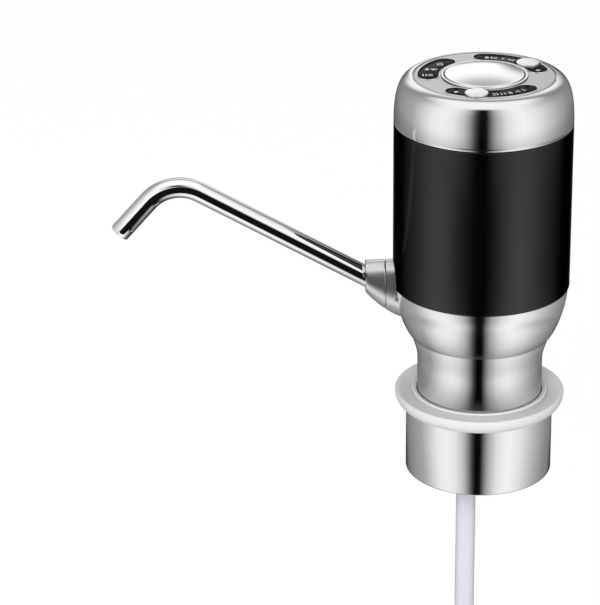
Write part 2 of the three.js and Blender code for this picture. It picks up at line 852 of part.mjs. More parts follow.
function makeWindow(spec) {
  const low = plateLow - windowFoot;
  const pane = windowSlab(spec, 0, low, plateTop - windowSink);
  if (spec.button === undefined) return pane;
  const wellLow = capRoom - buttonTravel - runGap;
  const well = disc(smallButtonRadius + runGap, wellLow, plateTop + cutOverrun, middleSides);
  const hole = through(stemRadius + runGap, low, plateTop, middleSides);
  return cut(pane, at(well.add(hole), ...round(smallButtonCircle, spec.button)));
}

function makeBezel() {
  return revolve([
    [bezelInner, plateLow],
    [bezelOuter, plateLow],
    [bezelOuter, plateTop + seatGap],
    [bezelOuter + bezelBrim, plateTop + seatGap],
    [bezelOuter + bezelBrim / 2, plateTop + seatGap + bezelBrimHeight],
    [bezelInner, plateTop + seatGap + bezelBrimHeight],
  ]);
}

// The crown of a button, from its rim to the middle
const keyTop = boardTop + seatGap + switchHeight + plungerReach;
const stemRadius = plungerRadius + buttonShell;
const capRoom = plateLow + buttonTravel;
function crownOutline(radius, rim, crown, steps) {
  const outline = [];
  for (let i = 0; i <= steps; i += 1) {
    const share = i / steps;
    outline.push([radius * (1 - share), rim + crown * (1 - (1 - share) ** 2)]);
  }
  return outline;
}

// Start button: crowned shell with a lip under the bezel and a stem over its key switch
function makeStartButton() {
  const rim = plateTop + startButtonProud;
  const lipTop = plateLow - seatGap;
  const lipLow = lipTop - buttonLipThickness;
  return revolve([
    [0, keyTop + seatGap],
    [stemRadius, keyTop + seatGap],
    [stemRadius, rim - buttonShell],
    [startButtonRadius - buttonShell, rim - buttonShell],
    [startButtonRadius - buttonShell, lipLow],
    [startButtonRadius + buttonLip, lipLow],
    [startButtonRadius + buttonLip, lipTop],
    [startButtonRadius, lipTop],
    ...crownOutline(startButtonRadius, rim, startButtonCrown, 5),
  ]);
}

// Small button: crowned cap over its window, and a stem through it with a snap lip
function makeSmallButton() {
  const rim = plateTop + smallButtonProud;
  const lipTop = plateLow - windowFoot - seatGap;
  const lipRadius = stemRadius + buttonLip / 2;
  return revolve(
    [
      [0, keyTop + seatGap],
      [stemRadius, keyTop + seatGap],
      [lipRadius, lipTop - buttonLip / 2],
      [lipRadius, lipTop],
      [stemRadius, lipTop],
      [stemRadius, capRoom],
      [smallButtonRadius, capRoom],
      ...crownOutline(smallButtonRadius, rim, smallButtonCrown, 3),
    ],
    middleSides,
  );
}

// Circuit board with its chips, and the key switches that stand on it
function makeBoard() {
  const board = disc(boardRadius, boardLow, boardTop);
  const chips = chipPlaceShares.map((shares) => {
    const [x, y, sizeX, sizeY] = shares.map((share) => share * boardRadius);
    return at(block(sizeX, sizeY, boardTop - seatGap, boardTop + chipHeight), x, y);
  });
  const hole = through(screwHole, boardLow, boardTop);
  const holes = bossTurns.map((turn) => at(hole, ...round(capBossCircle, turn)));
  const notch = block(boardNotch, boardNotch, boardLow - cutOverrun, boardTop + cutOverrun);
  return cut(join(board, ...chips), ...holes, at(notch, 0, boardRadius));
}

function makeSwitch() {
  const low = boardTop + seatGap;
  const high = low + switchHeight;
  const body = block(switchSide, switchSide, low, high);
  const well = disc(plungerRadius + runGap, low + switchHeight / 4, high + cutOverrun, smallSides);
  return cut(body, well);
}

function makePlunger() {
  const low = boardTop + seatGap + switchHeight / 4 + buttonTravel + runGap;
  return disc(plungerRadius, low, keyTop, smallSides);
}

// Inner frame: disc on the housing's spigot, motor collar, battery cup, posts, port shelf
function makeInnerFrame() {
  const discBody = disc(frameRadius, frameLow, frameTop);
  const collarTop = frameTop + motorCollarHeight;
  const collar = at(disc(motorHold + frameWall, frameLow, collarTop, middleSides), pumpX, 0);
  const cupLow = batteryBottomHeight - seatGap - frameWall;
  const cupTop = cupLow + batteryCupHeight;
  const cup = at(disc(batteryHold + frameWall, cupLow, cupTop, middleSides), batteryX, 0);
  const post = disc(framePostRadius, frameLow, boardLow - seatGap, smallSides);
  const posts = framePostTurns.map((turn) => at(post, ...round(capBossCircle, turn)));
  const portFoot = portHeight - portTall / 2 - portShell - seatGap;
  const shelfY = sleeveInner - portBezelWall - (portDepth * 2) / 3;
  const shelf = at(block(portWidth, portShelf, frameLow, portFoot), 0, shelfY);
  const motorHole = at(through(motorHold, frameLow, collarTop, middleSides), pumpX, 0);
  const cellHole = disc(batteryHold, batteryBottomHeight - seatGap, cupTop + cutOverrun, middleSides);
  const earHole = through(screwHole, frameLow, frameTop);
  const earHoles = earTurns.map((turn) => {
    const [x, y] = round(caseEarCircle, turn);
    return at(earHole, pumpX + x, y);
  });
  const body = join(discBody, collar, cup, shelf, ...posts);
  return cut(body, motorHole, at(cellHole, batteryX, 0), ...earHoles);
}

function makeBattery() {
  const high = batteryTop;
  const neck = batteryRadius / 3;
  const profile = [
    [0, batteryBottomHeight],
    [batteryRadius - seatGap, batteryBottomHeight],
    [batteryRadius, batteryBottomHeight + seatGap],
    [batteryRadius, high - batteryCapHeight - seatGap],
    [batteryRadius - seatGap, high - batteryCapHeight],
    [neck, high - batteryCapHeight],
    [neck, high],
    [0, high],
  ];
  return at(revolve(profile, middleSides), batteryX, 0);
}

// Motor: can with a front boss and an end cap, and a bore for its shaft
function makeMotor() {
  const body = revolve(
    [
      [0, motorLow - motorBossHeight],
      [motorBoss, motorLow - motorBossHeight],
      [motorBoss, motorLow],
      [motorRadius - seatGap, motorLow],
      [motorRadius, motorLow + seatGap],
      [motorRadius, motorTop - motorEndHeight],
      [motorRadius - motorBossHeight, motorTop - motorEndHeight],
      [motorRadius - motorBossHeight, motorTop],
      [motorBoss, motorTop],
      [motorBoss, motorTop + motorBossHeight],
      [0, motorTop + motorBossHeight],
    ],
    middleSides,
  );
  const tabTop = motorTop + motorTabHeight;
  const tab = block(motorTabWidth, motorTabThickness, motorTop - seatGap, tabTop);
  const terminals = [-1, 1].map((side) => at(tab, 0, side * motorTabOffset));
  const bore = through(shaftRadius + seatGap, motorLow - motorBossHeight, motorTop + motorBossHeight);
  return at(cut(join(body, ...terminals), bore), pumpX, 0);
}

const crankTop = caseTop - caseWall - runGap - motorBossHeight;
const crankLow = crankTop - crankHeight;

function makeShaft() {
  const low = crankLow + crankHeight / 3;
  return at(disc(shaftRadius, low, motorTop + shaftTail, smallSides), pumpX, 0);
}

function makeCrank() {
  const body = disc(crankRadius, crankLow, crankTop, middleSides);
  const pin = disc(crankPinRadius, crankLow - crankPinReach, crankLow + runGap, smallSides);
  const socketLow = crankLow + crankHeight / 3 - seatGap;
  const socket = disc(shaftRadius + seatGap, socketLow, crankTop + cutOverrun, smallSides);
  return at(cut(join(body, at(pin, crankPinOffset, 0)), socket), pumpX, 0);
}

// Pump case: cup over the crank with two screw ears
function makePumpCase() {
  const shell = disc(caseRadius, caseLow, caseTop, middleSides);
  const earLow = caseTop - caseEarThickness;
  const ear = disc(caseEar, earLow, caseTop, smallSides);
  const ears = earTurns.map((turn) => at(ear, ...round(caseEarCircle, turn)));
  const arms = block(caseEar, 2 * caseEarCircle, earLow, caseTop);
  const room = disc(caseRadius - caseWall, caseLow - cutOverrun, caseTop - caseWall, middleSides);
  const bossHole = through(motorBoss + seatGap, caseLow, caseTop);
  const hole = through(screwHole, earLow, caseTop);
  const holes = earTurns.map((turn) => at(hole, ...round(caseEarCircle, turn)));
  return at(cut(join(shell, arms, ...ears), room, bossHole, ...holes), pumpX, 0);
}

// Wobble plate: hub round the crank's pin and a disc that pushes the three cups
const wobbleLow = caseLow + cupHeight + seatGap;
function makeWobblePlate() {
  const plate = disc(wobbleRadius, wobbleLow, wobbleLow + wobbleThickness, middleSides);
  const hubTop = crankLow - runGap;
  const hub = disc(wobbleHubRadius, wobbleLow, hubTop, middleSides);
  const orbit = crankPinOffset + crankPinRadius + runGap;
  const hole = disc(orbit, crankLow - crankPinReach - runGap, hubTop + cutOverrun, middleSides);
  return at(cut(join(plate, hub), hole), pumpX, 0);
}

function makeDiaphragm() {
  const skin = disc(caseRadius, diaphragmLow, diaphragmTop, middleSides);
  const cupTop = caseLow + cupHeight;
  const cup = disc(cupRadius, diaphragmTop - seatGap, cupTop, smallSides);
  const hollow = disc(cupRadius - cupWall, diaphragmLow - cutOverrun, cupTop - cupWall, smallSides);
  const cups = threeTurns.map((turn) => at(cup, ...round(cupCircle, turn)));
  const hollows = threeTurns.map((turn) => at(hollow, ...round(cupCircle, turn)));
  return at(cut(join(skin, ...cups), ...hollows), pumpX, 0);
}

function makeValvePlate() {
  const plate = disc(caseRadius, valveLow, valveTop, middleSides);
  const port = through(valvePortRadius, valveLow, valveTop);
  const portCircles = [cupCircle + valvePortRadius, cupCircle - 2 * valvePortRadius];
  const ports = threeTurns.flatMap((turn) => portCircles.map((circle) => at(port, ...round(circle, turn))));
  return at(cut(plate, ...ports), pumpX, 0);
}

// Pump cover: outlet chamber in the middle, inlet chamber round it, and the two nipples
const outletHeight = (coverTop + coverLow) / 2;
function makePumpCover() {
  const body = disc(caseRadius, coverLow, coverTop, middleSides);
  const outer = ring(
    coverRingRadius + coverWall,
    caseRadius - coverWall,
    coverLow + coverWall,
    coverTop + cutOverrun,
    middleSides,
  );
  const inner = disc(coverRingRadius, coverLow + coverWall, coverTop + cutOverrun, middleSides);
  const suctionX = -(coverRingRadius + caseRadius) / 2;
  const suctionNipple = nipple(0, nippleLength + coverWall).rotate([180, 0, 0]);
  const suction = at(suctionNipple, suctionX, 0, coverLow + coverWall / 2);
  const suctionBoreLow = coverLow - nippleLength - 2 * cutOverrun;
  const suctionBore = at(disc(nippleBore, suctionBoreLow, coverTop, smallSides), suctionX, 0);
  const sideways = (shape) => at(shape.rotate([0, -90, 0]), 0, 0, outletHeight);
  const outlet = sideways(nipple(caseRadius - coverWall, caseRadius + nippleLength));
  const outletBridge = sideways(disc(nippleRadius, coverRingRadius, caseRadius, smallSides));
  const outletBore = sideways(disc(nippleBore, 0, caseRadius + nippleLength + cutOverrun, smallSides));
  const solidBody = join(cut(body, outer, inner), suction, outlet, cut(outletBridge, inner));
  return at(cut(solidBody, cut(suctionBore, outletBridge), outletBore), pumpX, 0);
}

// Inlet fitting: through the floor, barbed at both ends
function makeInletFitting() {
  const flangeTopHeight = floorTop + seatGap + inletFlangeHeight;
  const neck = disc(inletNeckRadius, 0, floorTop + seatGap, middleSides);
  const flange = disc(inletFlangeRadius, floorTop + seatGap, flangeTopHeight, middleSides);
  const upper = nipple(flangeTopHeight - seatGap, flangeTopHeight + nippleLength);
  const lower = nipple(-cutOverrun, inletReach).rotate([180, 0, 0]);
  const bore = through(nippleBore, -inletReach, flangeTopHeight + nippleLength);
  return at(cut(join(neck, flange, upper, lower), bore), inletX, 0);
}

// Inner hoses run between the nipples
const innerHoseBore = nippleRadius + barbRise + seatGap;
function makeSuctionHose() {
  const from = new THREE.Vector3(inletX, 0, floorTop + inletFlangeHeight + 2 * seatGap);
  const suctionX = pumpX - (coverRingRadius + caseRadius) / 2;
  const to = new THREE.Vector3(suctionX, 0, coverLow - seatGap);
  const route = linkRoute(from, up, to, up, nippleLength, nippleLength);
  return tube(route, innerHoseBore + innerHoseWall, innerHoseBore, hoseSides);
}

function makeDeliveryHose() {
  const from = onSpoutAxis(connectorEnd + seatGap);
  const to = new THREE.Vector3(pumpX - caseRadius - seatGap, 0, outletHeight);
  const inwardX = new THREE.Vector3(1, 0, 0);
  const route = linkRoute(from, spoutInward, to, inwardX, nippleLength, nippleLength / 2);
  return tube(route, innerHoseBore + innerHoseWall, innerHoseBore, hoseSides);
}

// Charging port: metal shell with a tongue, and the bezel in the sleeve's slot
function makeChargingPort() {
  const outerY = sleeveInner - portBezelWall;
  const shell = portSlab(portShell, outerY - portDepth, outerY);
  const mouth = portSlab(0, outerY - portDepth + portShell, outerY + cutOverrun);
  const tongueLow = portHeight - portTongue / 2;
  const tongue = at(
    block(portWidth - portTall, portDepth - portShell, tongueLow, tongueLow + portTongue),
    0,
    outerY - portDepth / 2,
  );
  return cut(shell, mouth).add(tongue);
}

function makePortBezel() {
  const bezelFoot = sleeveInner - portBezelWall - portDepth / 3;
  const outer = portSlab(portBezelWall, bezelFoot, sleeveRadius + portBezelBrim);
  const hole = portSlab(portShell + seatGap, sleeveInner - portDepth, sleeveRadius + cutOverrun);
  return cut(outer, hole);
}

// Leads are drawn as one tube each, along their way past the parts
function makeLead(points) {
  const curve = new THREE.CatmullRomCurve3(points.map(([x, y, z]) => new THREE.Vector3(x, y, z)));
  return tube(new Route().along(curve, curveSteps * 2, false), leadRadius, 0, leadSides);
}

const leadTop = boardLow - seatGap;
const motorLeadLow = motorTop + motorTabHeight + seatGap;
const makeMotorLead = () =>
  makeLead([
    [pumpX, motorTabOffset, motorLeadLow],
    [pumpX + leadBow / 2, motorTabOffset + leadBow / 3, motorLeadLow + 2 * leadBow],
    [pumpX, motorTabOffset, leadTop],
  ]);
const makeBatteryLead = () =>
  makeLead([
    [batteryX, 0, batteryTop + seatGap],
    [batteryX - leadBow / 3, 0, (batteryTop + leadTop) / 2],
    [batteryX, 0, leadTop],
  ]);
const makePortLead = () =>
  makeLead([
    [0, sleeveInner - portBezelWall - portDepth - seatGap - leadRadius, portHeight],
    [leadBow / 2, sleeveInner - portDepth - leadBow, portHeight + 2 * leadBow],
    [0, boardRadius - 2 * boardNotch, leadTop],
  ]);

// Intake hose: straight down from the fitting, a loop put away in a tie, and the tail
const hoseX = inletX;
const coilMiddle = coilTopHeight - 2 * hoseRadius;
// The run's points are chosen by hand: it hangs straight down
const runPoints = [
  [-5, 0, -0.3],
  [-5, 0, -20],
  [-5, 0, -45],
  [-5, 0, -70],
  [-5, 0, -95],
  [-5, 0, -120],
  [-5, 0, -149.2],
];

function makeHoseRun() {
  const route = new Route();
  for (const [x, y, z] of runPoints) route.add(new THREE.Vector3(x, y, z), down);
  return tube(route, hoseRadius, hoseBoreRadius, runSides);
}

// One turn that moves aside by the coil's spacing, with a straight diameter at each end
function coilRoute(steps) {
  const route = new Route().add(new THREE.Vector3(hoseX, 0, coilTopHeight), down);
  for (let i = 0; i <= steps; i += 1) {
    const turn = (2 * Math.PI * i) / steps;
    const aside = coilSpacing * (turn - Math.sin(turn)) / (2 * Math.PI);
    const slide = coilSpacing * (1 - Math.cos(turn)) / (2 * Math.PI);
    const x = hoseX + coilRadius * (1 - Math.cos(turn));
    const z = coilMiddle - coilRadius * Math.sin(turn);
    const tangent = new THREE.Vector3(coilRadius * Math.sin(turn), slide, -coilRadius * Math.cos(turn));
    route.add(new THREE.Vector3(x, aside, z), tangent);
  }
  return route.add(new THREE.Vector3(hoseX, coilSpacing, coilMiddle - 2 * hoseRadius), down);
}

// The least gap of the coil to itself, on points more than a quarter turn apart
function coilGap() {
  const route = coilRoute(coilSteps * coilCheckSteps);
  const quarterTurn = (coilSteps * coilCheckSteps) / 4;
  let least = Infinity;
  for (let i = 0; i <= route.steps; i += 1) {
    for (let k = i + quarterTurn; k <= route.steps; k += 1) {
      least = Math.min(least, route.points[i].distanceTo(route.points[k]));
    }
  }
  return least - 2 * hoseRadius;
}
console.log(`hose coil: least gap to itself ${coilGap().toFixed(2)} mm`);

function makeHoseTail() {
  const high = coilMiddle - 2 * hoseRadius - seatGap;
  const route = new Route();
  for (const drop of [0, tailLength / 2, tailLength]) {
    route.add(new THREE.Vector3(hoseX, coilSpacing, high - drop), down);
  }
  return tube(route, hoseRadius, hoseBoreRadius, runSides);
}

// The tie is a band round the two strands where they run side by side
function makeHoseTie() {
  const band = (radius, low, high) => {
    const shape = new THREE.Shape();
    shape.absarc(0, coilSpacing, radius, 0, Math.PI);
    shape.absarc(0, 0, radius, Math.PI, 2 * Math.PI);
    const geometry = slab(shape, high - low, smallSides);
    geometry.translate(hoseX, 0, low);
    return solid(geometry);
  };
  const inner = hoseRadius + 2 * seatGap;
  const [low, high] = [coilMiddle - tieHeight / 2, coilMiddle + tieHeight / 2];
  return cut(band(inner + tieWall, low, high), band(inner, low - cutOverrun, high + cutOverrun));
}

// The object, from the bottle up
place('seat_collar', makeCollar(), 'paleCollar');
place('mouth_seal', makeMouthSeal(), 'whiteRubber');
place('neck_skirt', makeSkirt(), 'satinSilver');
place('lower_housing', makeLowerHousing(), 'satinSilver');
place('inlet_fitting', makeInletFitting(), 'whitePlastic');
place('sleeve', makeSleeve(), 'satinBlack');
place('spout_socket', makeSpoutSocket(), 'satinSilver');
place('spout_seal', makeSpoutSeal(), 'whiteRubber');
place('spout_connector', makeSpoutConnector(), 'whitePlastic');
place('spout_tube', makeSpoutTube(), 'polishedSteel');
place('inner_frame', makeInnerFrame(), 'greyPlastic');
place('battery_cell', makeBattery(), 'cellBlue');
place('pump_motor', makeMotor(), 'steel');
place('motor_shaft', makeShaft(), 'steel');
place('crank', makeCrank(), 'brass');
place('pump_case', makePumpCase(), 'greyPlastic');
place('wobble_plate', makeWobblePlate(), 'whitePlastic');
place('diaphragm', makeDiaphragm(), 'greyPlastic');
place('valve_plate', makeValvePlate(), 'whitePlastic');
place('pump_cover', makePumpCover(), 'greyPlastic');
place('suction_hose', makeSuctionHose(), 'clearHose');
place('delivery_hose', makeDeliveryHose(), 'clearHose');
place('top_cap', makeTopCap(), 'satinSilver');
place('control_plate', makeControlPlate(), 'brushedSilver');
for (const spec of windows) place(spec.name, makeWindow(spec), 'glossBlack');
place('start_button_ring', makeBezel(), 'polishedSteel');
place('start_button', makeStartButton(), 'buttonSilver');
place('circuit_board', makeBoard(), 'boardGreen');
place('start_switch', makeSwitch(), 'greyPlastic');
place('start_plunger', makePlunger(), 'whitePlastic');
const smallButtons = [
  { name: 'rear', turn: windows[1].button },
  { name: 'front', turn: windows[2].button },
];
for (const { name, turn } of smallButtons) {
  const [x, y] = round(smallButtonCircle, turn);
  place(`${name}_button`, at(makeSmallButton(), x, y), 'buttonSilver');
  place(`${name}_switch`, at(makeSwitch(), x, y), 'greyPlastic');
  place(`${name}_plunger`, at(makePlunger(), x, y), 'whitePlastic');
}
place('charging_port', makeChargingPort(), 'steel');
place('port_bezel', makePortBezel(), 'satinBlack');
place('motor_lead', makeMotorLead(), 'redLead');
place('battery_lead', makeBatteryLead(), 'redLead');
place('port_lead', makePortLead(), 'redLead');

// Screws: from below into the neck's posts, into the cap's bosses and into the frame
neckPostTurns.forEach((turn, index) => {
  const [x, y] = round(housingPostCircle, turn);
  place(`neck_screw_${index + 1}`, at(screw(screwLength), x, y, screwHeadHeight), 'steel');
});
bossTurns.forEach((turn, index) => {
  const [x, y] = round(capBossCircle, turn);
  place(`board_screw_${index + 1}`, at(screw(boardScrewLength), x, y, boardLow - seatGap), 'steel');
});
earTurns.forEach((turn, index) => {
  const [x, y] = round(caseEarCircle, turn);
  const shape = at(screw(caseEarThickness + frameDisc), pumpX + x, y, caseTop - caseEarThickness - seatGap);
  place(`pump_screw_${index + 1}`, shape, 'steel');
});

place('intake_hose', makeHoseRun(), 'clearHose');
place('hose_coil', tube(coilRoute(coilSteps), hoseRadius, 0, coilSides), 'clearHose');
place('hose_tail', makeHoseTail(), 'clearHose');
place('hose_tie', makeHoseTie(), 'whiteRubber');

export default group;
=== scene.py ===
import math

import bmesh
import bpy
from bpy.props import FloatProperty, FloatVectorProperty, PointerProperty
from mathutils import Matrix, Vector
from mathutils.geometry import tessellate_polygon


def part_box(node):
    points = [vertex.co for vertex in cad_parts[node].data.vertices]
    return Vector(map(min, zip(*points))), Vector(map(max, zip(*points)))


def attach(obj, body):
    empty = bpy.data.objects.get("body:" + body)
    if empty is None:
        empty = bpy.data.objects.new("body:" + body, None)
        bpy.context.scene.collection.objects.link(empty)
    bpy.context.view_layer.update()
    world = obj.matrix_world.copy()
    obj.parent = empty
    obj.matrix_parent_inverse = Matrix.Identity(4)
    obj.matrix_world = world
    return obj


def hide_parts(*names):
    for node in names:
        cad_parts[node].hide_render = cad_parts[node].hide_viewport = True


bl_info = {
    "name": "Bottled water pump",
    "version": (1, 0, 0),
    "blender": (4, 5, 0),
    "location": "3D View > Sidebar > Water Pump",
    "description": "Builds the dressed pieces of a bottled water pump over its fixed frame",
    "category": "Object",
}

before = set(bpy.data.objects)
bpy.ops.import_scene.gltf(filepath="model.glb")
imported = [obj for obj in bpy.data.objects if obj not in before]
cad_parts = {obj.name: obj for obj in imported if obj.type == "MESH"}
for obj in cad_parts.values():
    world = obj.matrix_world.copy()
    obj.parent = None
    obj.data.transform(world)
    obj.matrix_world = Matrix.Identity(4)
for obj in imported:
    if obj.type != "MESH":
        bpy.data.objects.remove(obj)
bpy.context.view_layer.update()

MM = 0.001
GAP = 0.3 * MM
CUT = 1 * MM
TURN_SEGMENTS = 144
UP = Vector((0, 0, 1))

# Roundings of edges, from the sharpest to the softest
HAIR = 0.1 * MM
FINE = 0.2 * MM
SOFT = 0.3 * MM
ROUND = 0.4 * MM
FULL = 0.5 * MM

# A bevel's middle point lies this share of its width from the corner's sides
BEVEL = 0.3

SLEEVE_LOW, SLEEVE_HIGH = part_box("sleeve")
CAP_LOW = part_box("top_cap")[0]
PLATE_LOW, PLATE_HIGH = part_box("control_plate")
PLUNGER_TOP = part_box("start_plunger")[1].z
COLLAR_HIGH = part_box("seat_collar")[1]
SKIRT_LOW, SKIRT_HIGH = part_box("neck_skirt")
HOUSING_LOW, HOUSING_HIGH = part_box("lower_housing")
COIL_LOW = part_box("hose_coil")[0]

# The body that the still pieces ride on, and the places and sizes that several of them share
BODY = "housing"
HOSE_PLACE = (-5 * MM, 0.0)
HOSE_HOLE = 3.9 * MM
POST_TURNS = (40, 160, 280)
POST_CIRCLE = 15.4 * MM
SCREW_HOLE = 1.4 * MM
PORT_RISE = 28.3 * MM
BUTTON_GAP = 0.4 * MM


def length_property(name, description, default, low=0.0, high=1.0):
    return FloatProperty(
        name=name,
        description=description,
        default=default,
        min=low,
        max=high,
        unit="LENGTH",
        precision=5,
    )


def angle_property(name, description, degrees):
    return FloatProperty(
        name=name, description=description, default=math.radians(degrees), subtype="ANGLE"
    )


def colour_property(name, description, red, green, blue):
    return FloatVectorProperty(
        name=name,
        description=description,
        default=(red, green, blue),
        min=0.0,
        max=1.0,
        size=3,
        subtype="COLOR",
    )


def share_property(name, description, default, high=1.0):
    return FloatProperty(
        name=name, description=description, default=default, min=0.0, max=high, subtype="FACTOR"
    )


class PumpBodySizes(bpy.types.PropertyGroup):
    """Sizes of the shells, from the bottle's neck up to the cap"""

    sleeve_radius: length_property("Sleeve radius", "Outside of the black sleeve", SLEEVE_HIGH.x)
    sleeve_wall: length_property("Sleeve wall", "Thickness of the sleeve's tube", 0.8 * MM)
    sleeve_low: length_property("Sleeve foot", "Height of the sleeve's lower edge", SLEEVE_LOW.z)
    sleeve_top: length_property("Sleeve top", "Height of the sleeve's upper edge", SLEEVE_HIGH.z)
    neck_radius: length_property("Neck radius", "Outside of the housing's neck", 26.6 * MM)
    crease_radius: length_property("Crease radius", "Where the neck turns into the bowl", 29.3 * MM)
    bowl_radius: length_property("Bowl radius", "Outside of the bowl at its rim", 36.7 * MM)
    flare_height: length_property("Flare height", "Where the neck begins to flare", 20.9 * MM)
    crease_height: length_property("Crease height", "Height of the crease", 32.6 * MM)
    bowl_height: length_property("Bowl height", "Height of the bowl's rim", 55.4 * MM)
    shell_wall: length_property("Shell wall", "Thickness of the housing's wall", 1.9 * MM)
    skirt_radius: length_property("Skirt radius", "Outside of the tube round the neck", SKIRT_HIGH.x)
    skirt_low: length_property("Skirt foot", "Height of the skirt's lower edge", SKIRT_LOW.z, -1.0)
    flange_radius: length_property("Flange radius", "Outside of the pale collar", COLLAR_HIGH.x)
    ring_top: length_property("Ring top", "Top of the collar's raised ring", COLLAR_HIGH.z)


class PumpTopSizes(bpy.types.PropertyGroup):
    """Sizes of the cap, its plate, its windows and its buttons"""

    cap_low: length_property("Cap foot", "Lower edge of the silver cap", SLEEVE_HIGH.z + GAP)
    plate_radius: length_property("Plate radius", "Outside of the brushed plate", PLATE_HIGH.x)
    plate_low: length_property("Plate underside", "Underside of the plate", PLATE_LOW.z)
    plate_top: length_property("Plate top", "Top face of the plate", CAP_LOW.z + 26 * MM)
    band_inner: length_property("Band radius", "Inner radius of the windows", 19.2 * MM)
    band_width: length_property("Band width", "Width of the windows", 8 * MM)
    rim_width: length_property("Rim width", "Width of the bright rims", 0.55 * MM)
    rim_height: length_property("Rim height", "Height of the rims over the plate", 0.25 * MM)
    start_radius: length_property("Start button radius", "Radius of the large button", 16.5 * MM)
    start_crown: length_property("Start button crown", "Rise of its middle", 2.5 * MM)
    small_radius: length_property("Small button radius", "Radius of the small buttons", 4.8 * MM)
    small_circle: length_property("Small button circle", "Distance from the axis", 23.6 * MM)
    small_crown: length_property("Small button crown", "Rise of their middles", 0.4 * MM)
    rear_button_turn: angle_property("Rear button turn", "Place of the rear button", 36)
    front_button_turn: angle_property("Front button turn", "Place of the front button", 257.5)


class PumpSpoutSizes(bpy.types.PropertyGroup):
    """Sizes of the spout, its socket and the hose"""

    mouth_reach: length_property("Mouth reach", "Distance of the socket's mouth", 48.9 * MM)
    mouth_height: length_property("Mouth height", "Height of the mouth's middle", 59.1 * MM)
    mouth_radius: length_property("Mouth radius", "Radius of the socket's mouth", 6.8 * MM)
    tube_radius: length_property("Tube radius", "Outside of the spout's tube", 4.25 * MM)
    tube_wall: length_property("Tube wall", "Thickness of its wall", 0.75 * MM)
    slope: angle_property("Slope", "Rise of the straight run", 29.45)
    fall: angle_property("Fall", "Fall of the tip below level", 48.3)
    run: length_property("Run", "Straight length outside the socket", 79.2 * MM)
    bend_radius: length_property("Bend radius", "Radius of the bend", 17.4 * MM)
    drop: length_property("Drop", "Straight length after the bend", 18.6 * MM)
    hose_radius: length_property("Hose radius", "Outside of the intake hose", 4.25 * MM)
    hose_bore: length_property("Hose bore", "Radius inside the hose", 3.05 * MM)
    coil_radius: length_property("Coil radius", "Radius of the loop put away", 43 * MM)


class PumpColours(bpy.types.PropertyGroup):
    """Colours and roughness of the finishes"""

    silver: colour_property("Silver", "Satin silver of the shells", 0.86, 0.86, 0.865)
    plate: colour_property("Plate", "Brushed face of the control plate", 0.6, 0.605, 0.61)
    steel: colour_property("Steel", "Polished tube and rings", 0.95, 0.95, 0.955)
    button: colour_property("Buttons", "Satin plating of the buttons", 1.0, 1.0, 1.0)
    black: colour_property("Black", "Lacquered sleeve", 0.055, 0.055, 0.056)
    glass: colour_property("Windows", "Gloss black of the windows", 0.004, 0.0045, 0.006)
    marks: colour_property("Marks", "Signs on the windows", 0.85, 0.86, 0.86)
    collar: colour_property("Collar", "Pale moulded collar", 0.84, 0.84, 0.845)
    hose: colour_property("Hose", "Milky flexible hose", 0.78, 0.82, 0.85)
    rubber: colour_property("Seals", "Soft white seals", 0.8, 0.8, 0.79)
    silver_roughness: share_property("Silver roughness", "Gloss of the shells", 0.07)
    steel_roughness: share_property("Steel roughness", "Gloss of the tube", 0.02)
    black_roughness: share_property("Black roughness", "Gloss of the sleeve", 0.16)


class PumpStageSettings(bpy.types.PropertyGroup):
    """The camera's place, the light's level and the floor"""

    lens: FloatProperty(
        name="Lens", description="Focal length", default=178.512, min=10.0, unit="CAMERA"
    )
    turn: angle_property("Turn", "Direction of the camera round the upright", -1.247)
    tilt: angle_property("Tilt", "Height of the camera over level", 23.373)
    roll: angle_property("Roll", "Lean of the picture", -0.5)
    sky: FloatProperty(name="Sky", description="Level of the even light", default=0.5, min=0.0)
    key: FloatProperty(name="Key", description="Power of the large lamp", default=8.5, min=0.0)
    wall_radius: length_property("Wall radius", "Radius of the light wall", 0.33)
    floor_size: length_property("Floor size", "Side of the floor", 8.0, 0.0, 20.0)
    floor_height: length_property("Floor height", "The hose stands on it", COIL_LOW.z, -1.0)


# Shader maths


class Wire:
    """A shader socket that takes part in sums of values"""

    def __init__(self, tree, socket=None):
        self.tree = tree
        self.socket = socket

    def node(self, kind, settings=None, sockets=None, output=0):
        """Adds a node: its settings first, then the values or links of its sockets"""
        made = self.tree.nodes.new(kind)
        for key, value in (settings or {}).items():
            if key == "stops":
                stops = made.color_ramp.elements
                stops.remove(stops[1])
                stops[0].position, stops[0].color = value[0]
                for place, colour in value[1:]:
                    stops.new(place).color = colour
            else:
                setattr(made, key, value)
        for key, value in (sockets or {}).items():
            if isinstance(value, Wire):
                self.tree.links.new(value.socket, made.inputs[key])
            else:
                made.inputs[key].default_value = value
        return Wire(self.tree, made.outputs[output])

    def maths(self, operation, *values):
        return self.node("ShaderNodeMath", {"operation": operation}, dict(enumerate(values)))

    def __add__(self, other):
        return self.maths("ADD", self, other)

    def __radd__(self, other):
        return self.maths("ADD", other, self)

    def __sub__(self, other):
        return self.maths("SUBTRACT", self, other)

    def __rsub__(self, other):
        return self.maths("SUBTRACT", other, self)

    def __mul__(self, other):
        return self.maths("MULTIPLY", self, other)

    def __rmul__(self, other):
        return self.maths("MULTIPLY", other, self)

    def __truediv__(self, other):
        return self.maths("DIVIDE", self, other)


def rgba(colour, level=1.0):
    return (colour[0] * level, colour[1] * level, colour[2] * level, 1.0)


def grey(level):
    return (level, level, level, 1.0)


def new_material(name):
    material = bpy.data.materials.new(name)
    material.use_nodes = True
    material.node_tree.nodes.clear()
    return material, Wire(material.node_tree)


def close_tree(tree, shader, kind="ShaderNodeOutputMaterial"):
    """Links the last shader to the tree's end"""
    end = tree.nodes.new(kind)
    tree.links.new(shader.socket, end.inputs["Surface"])


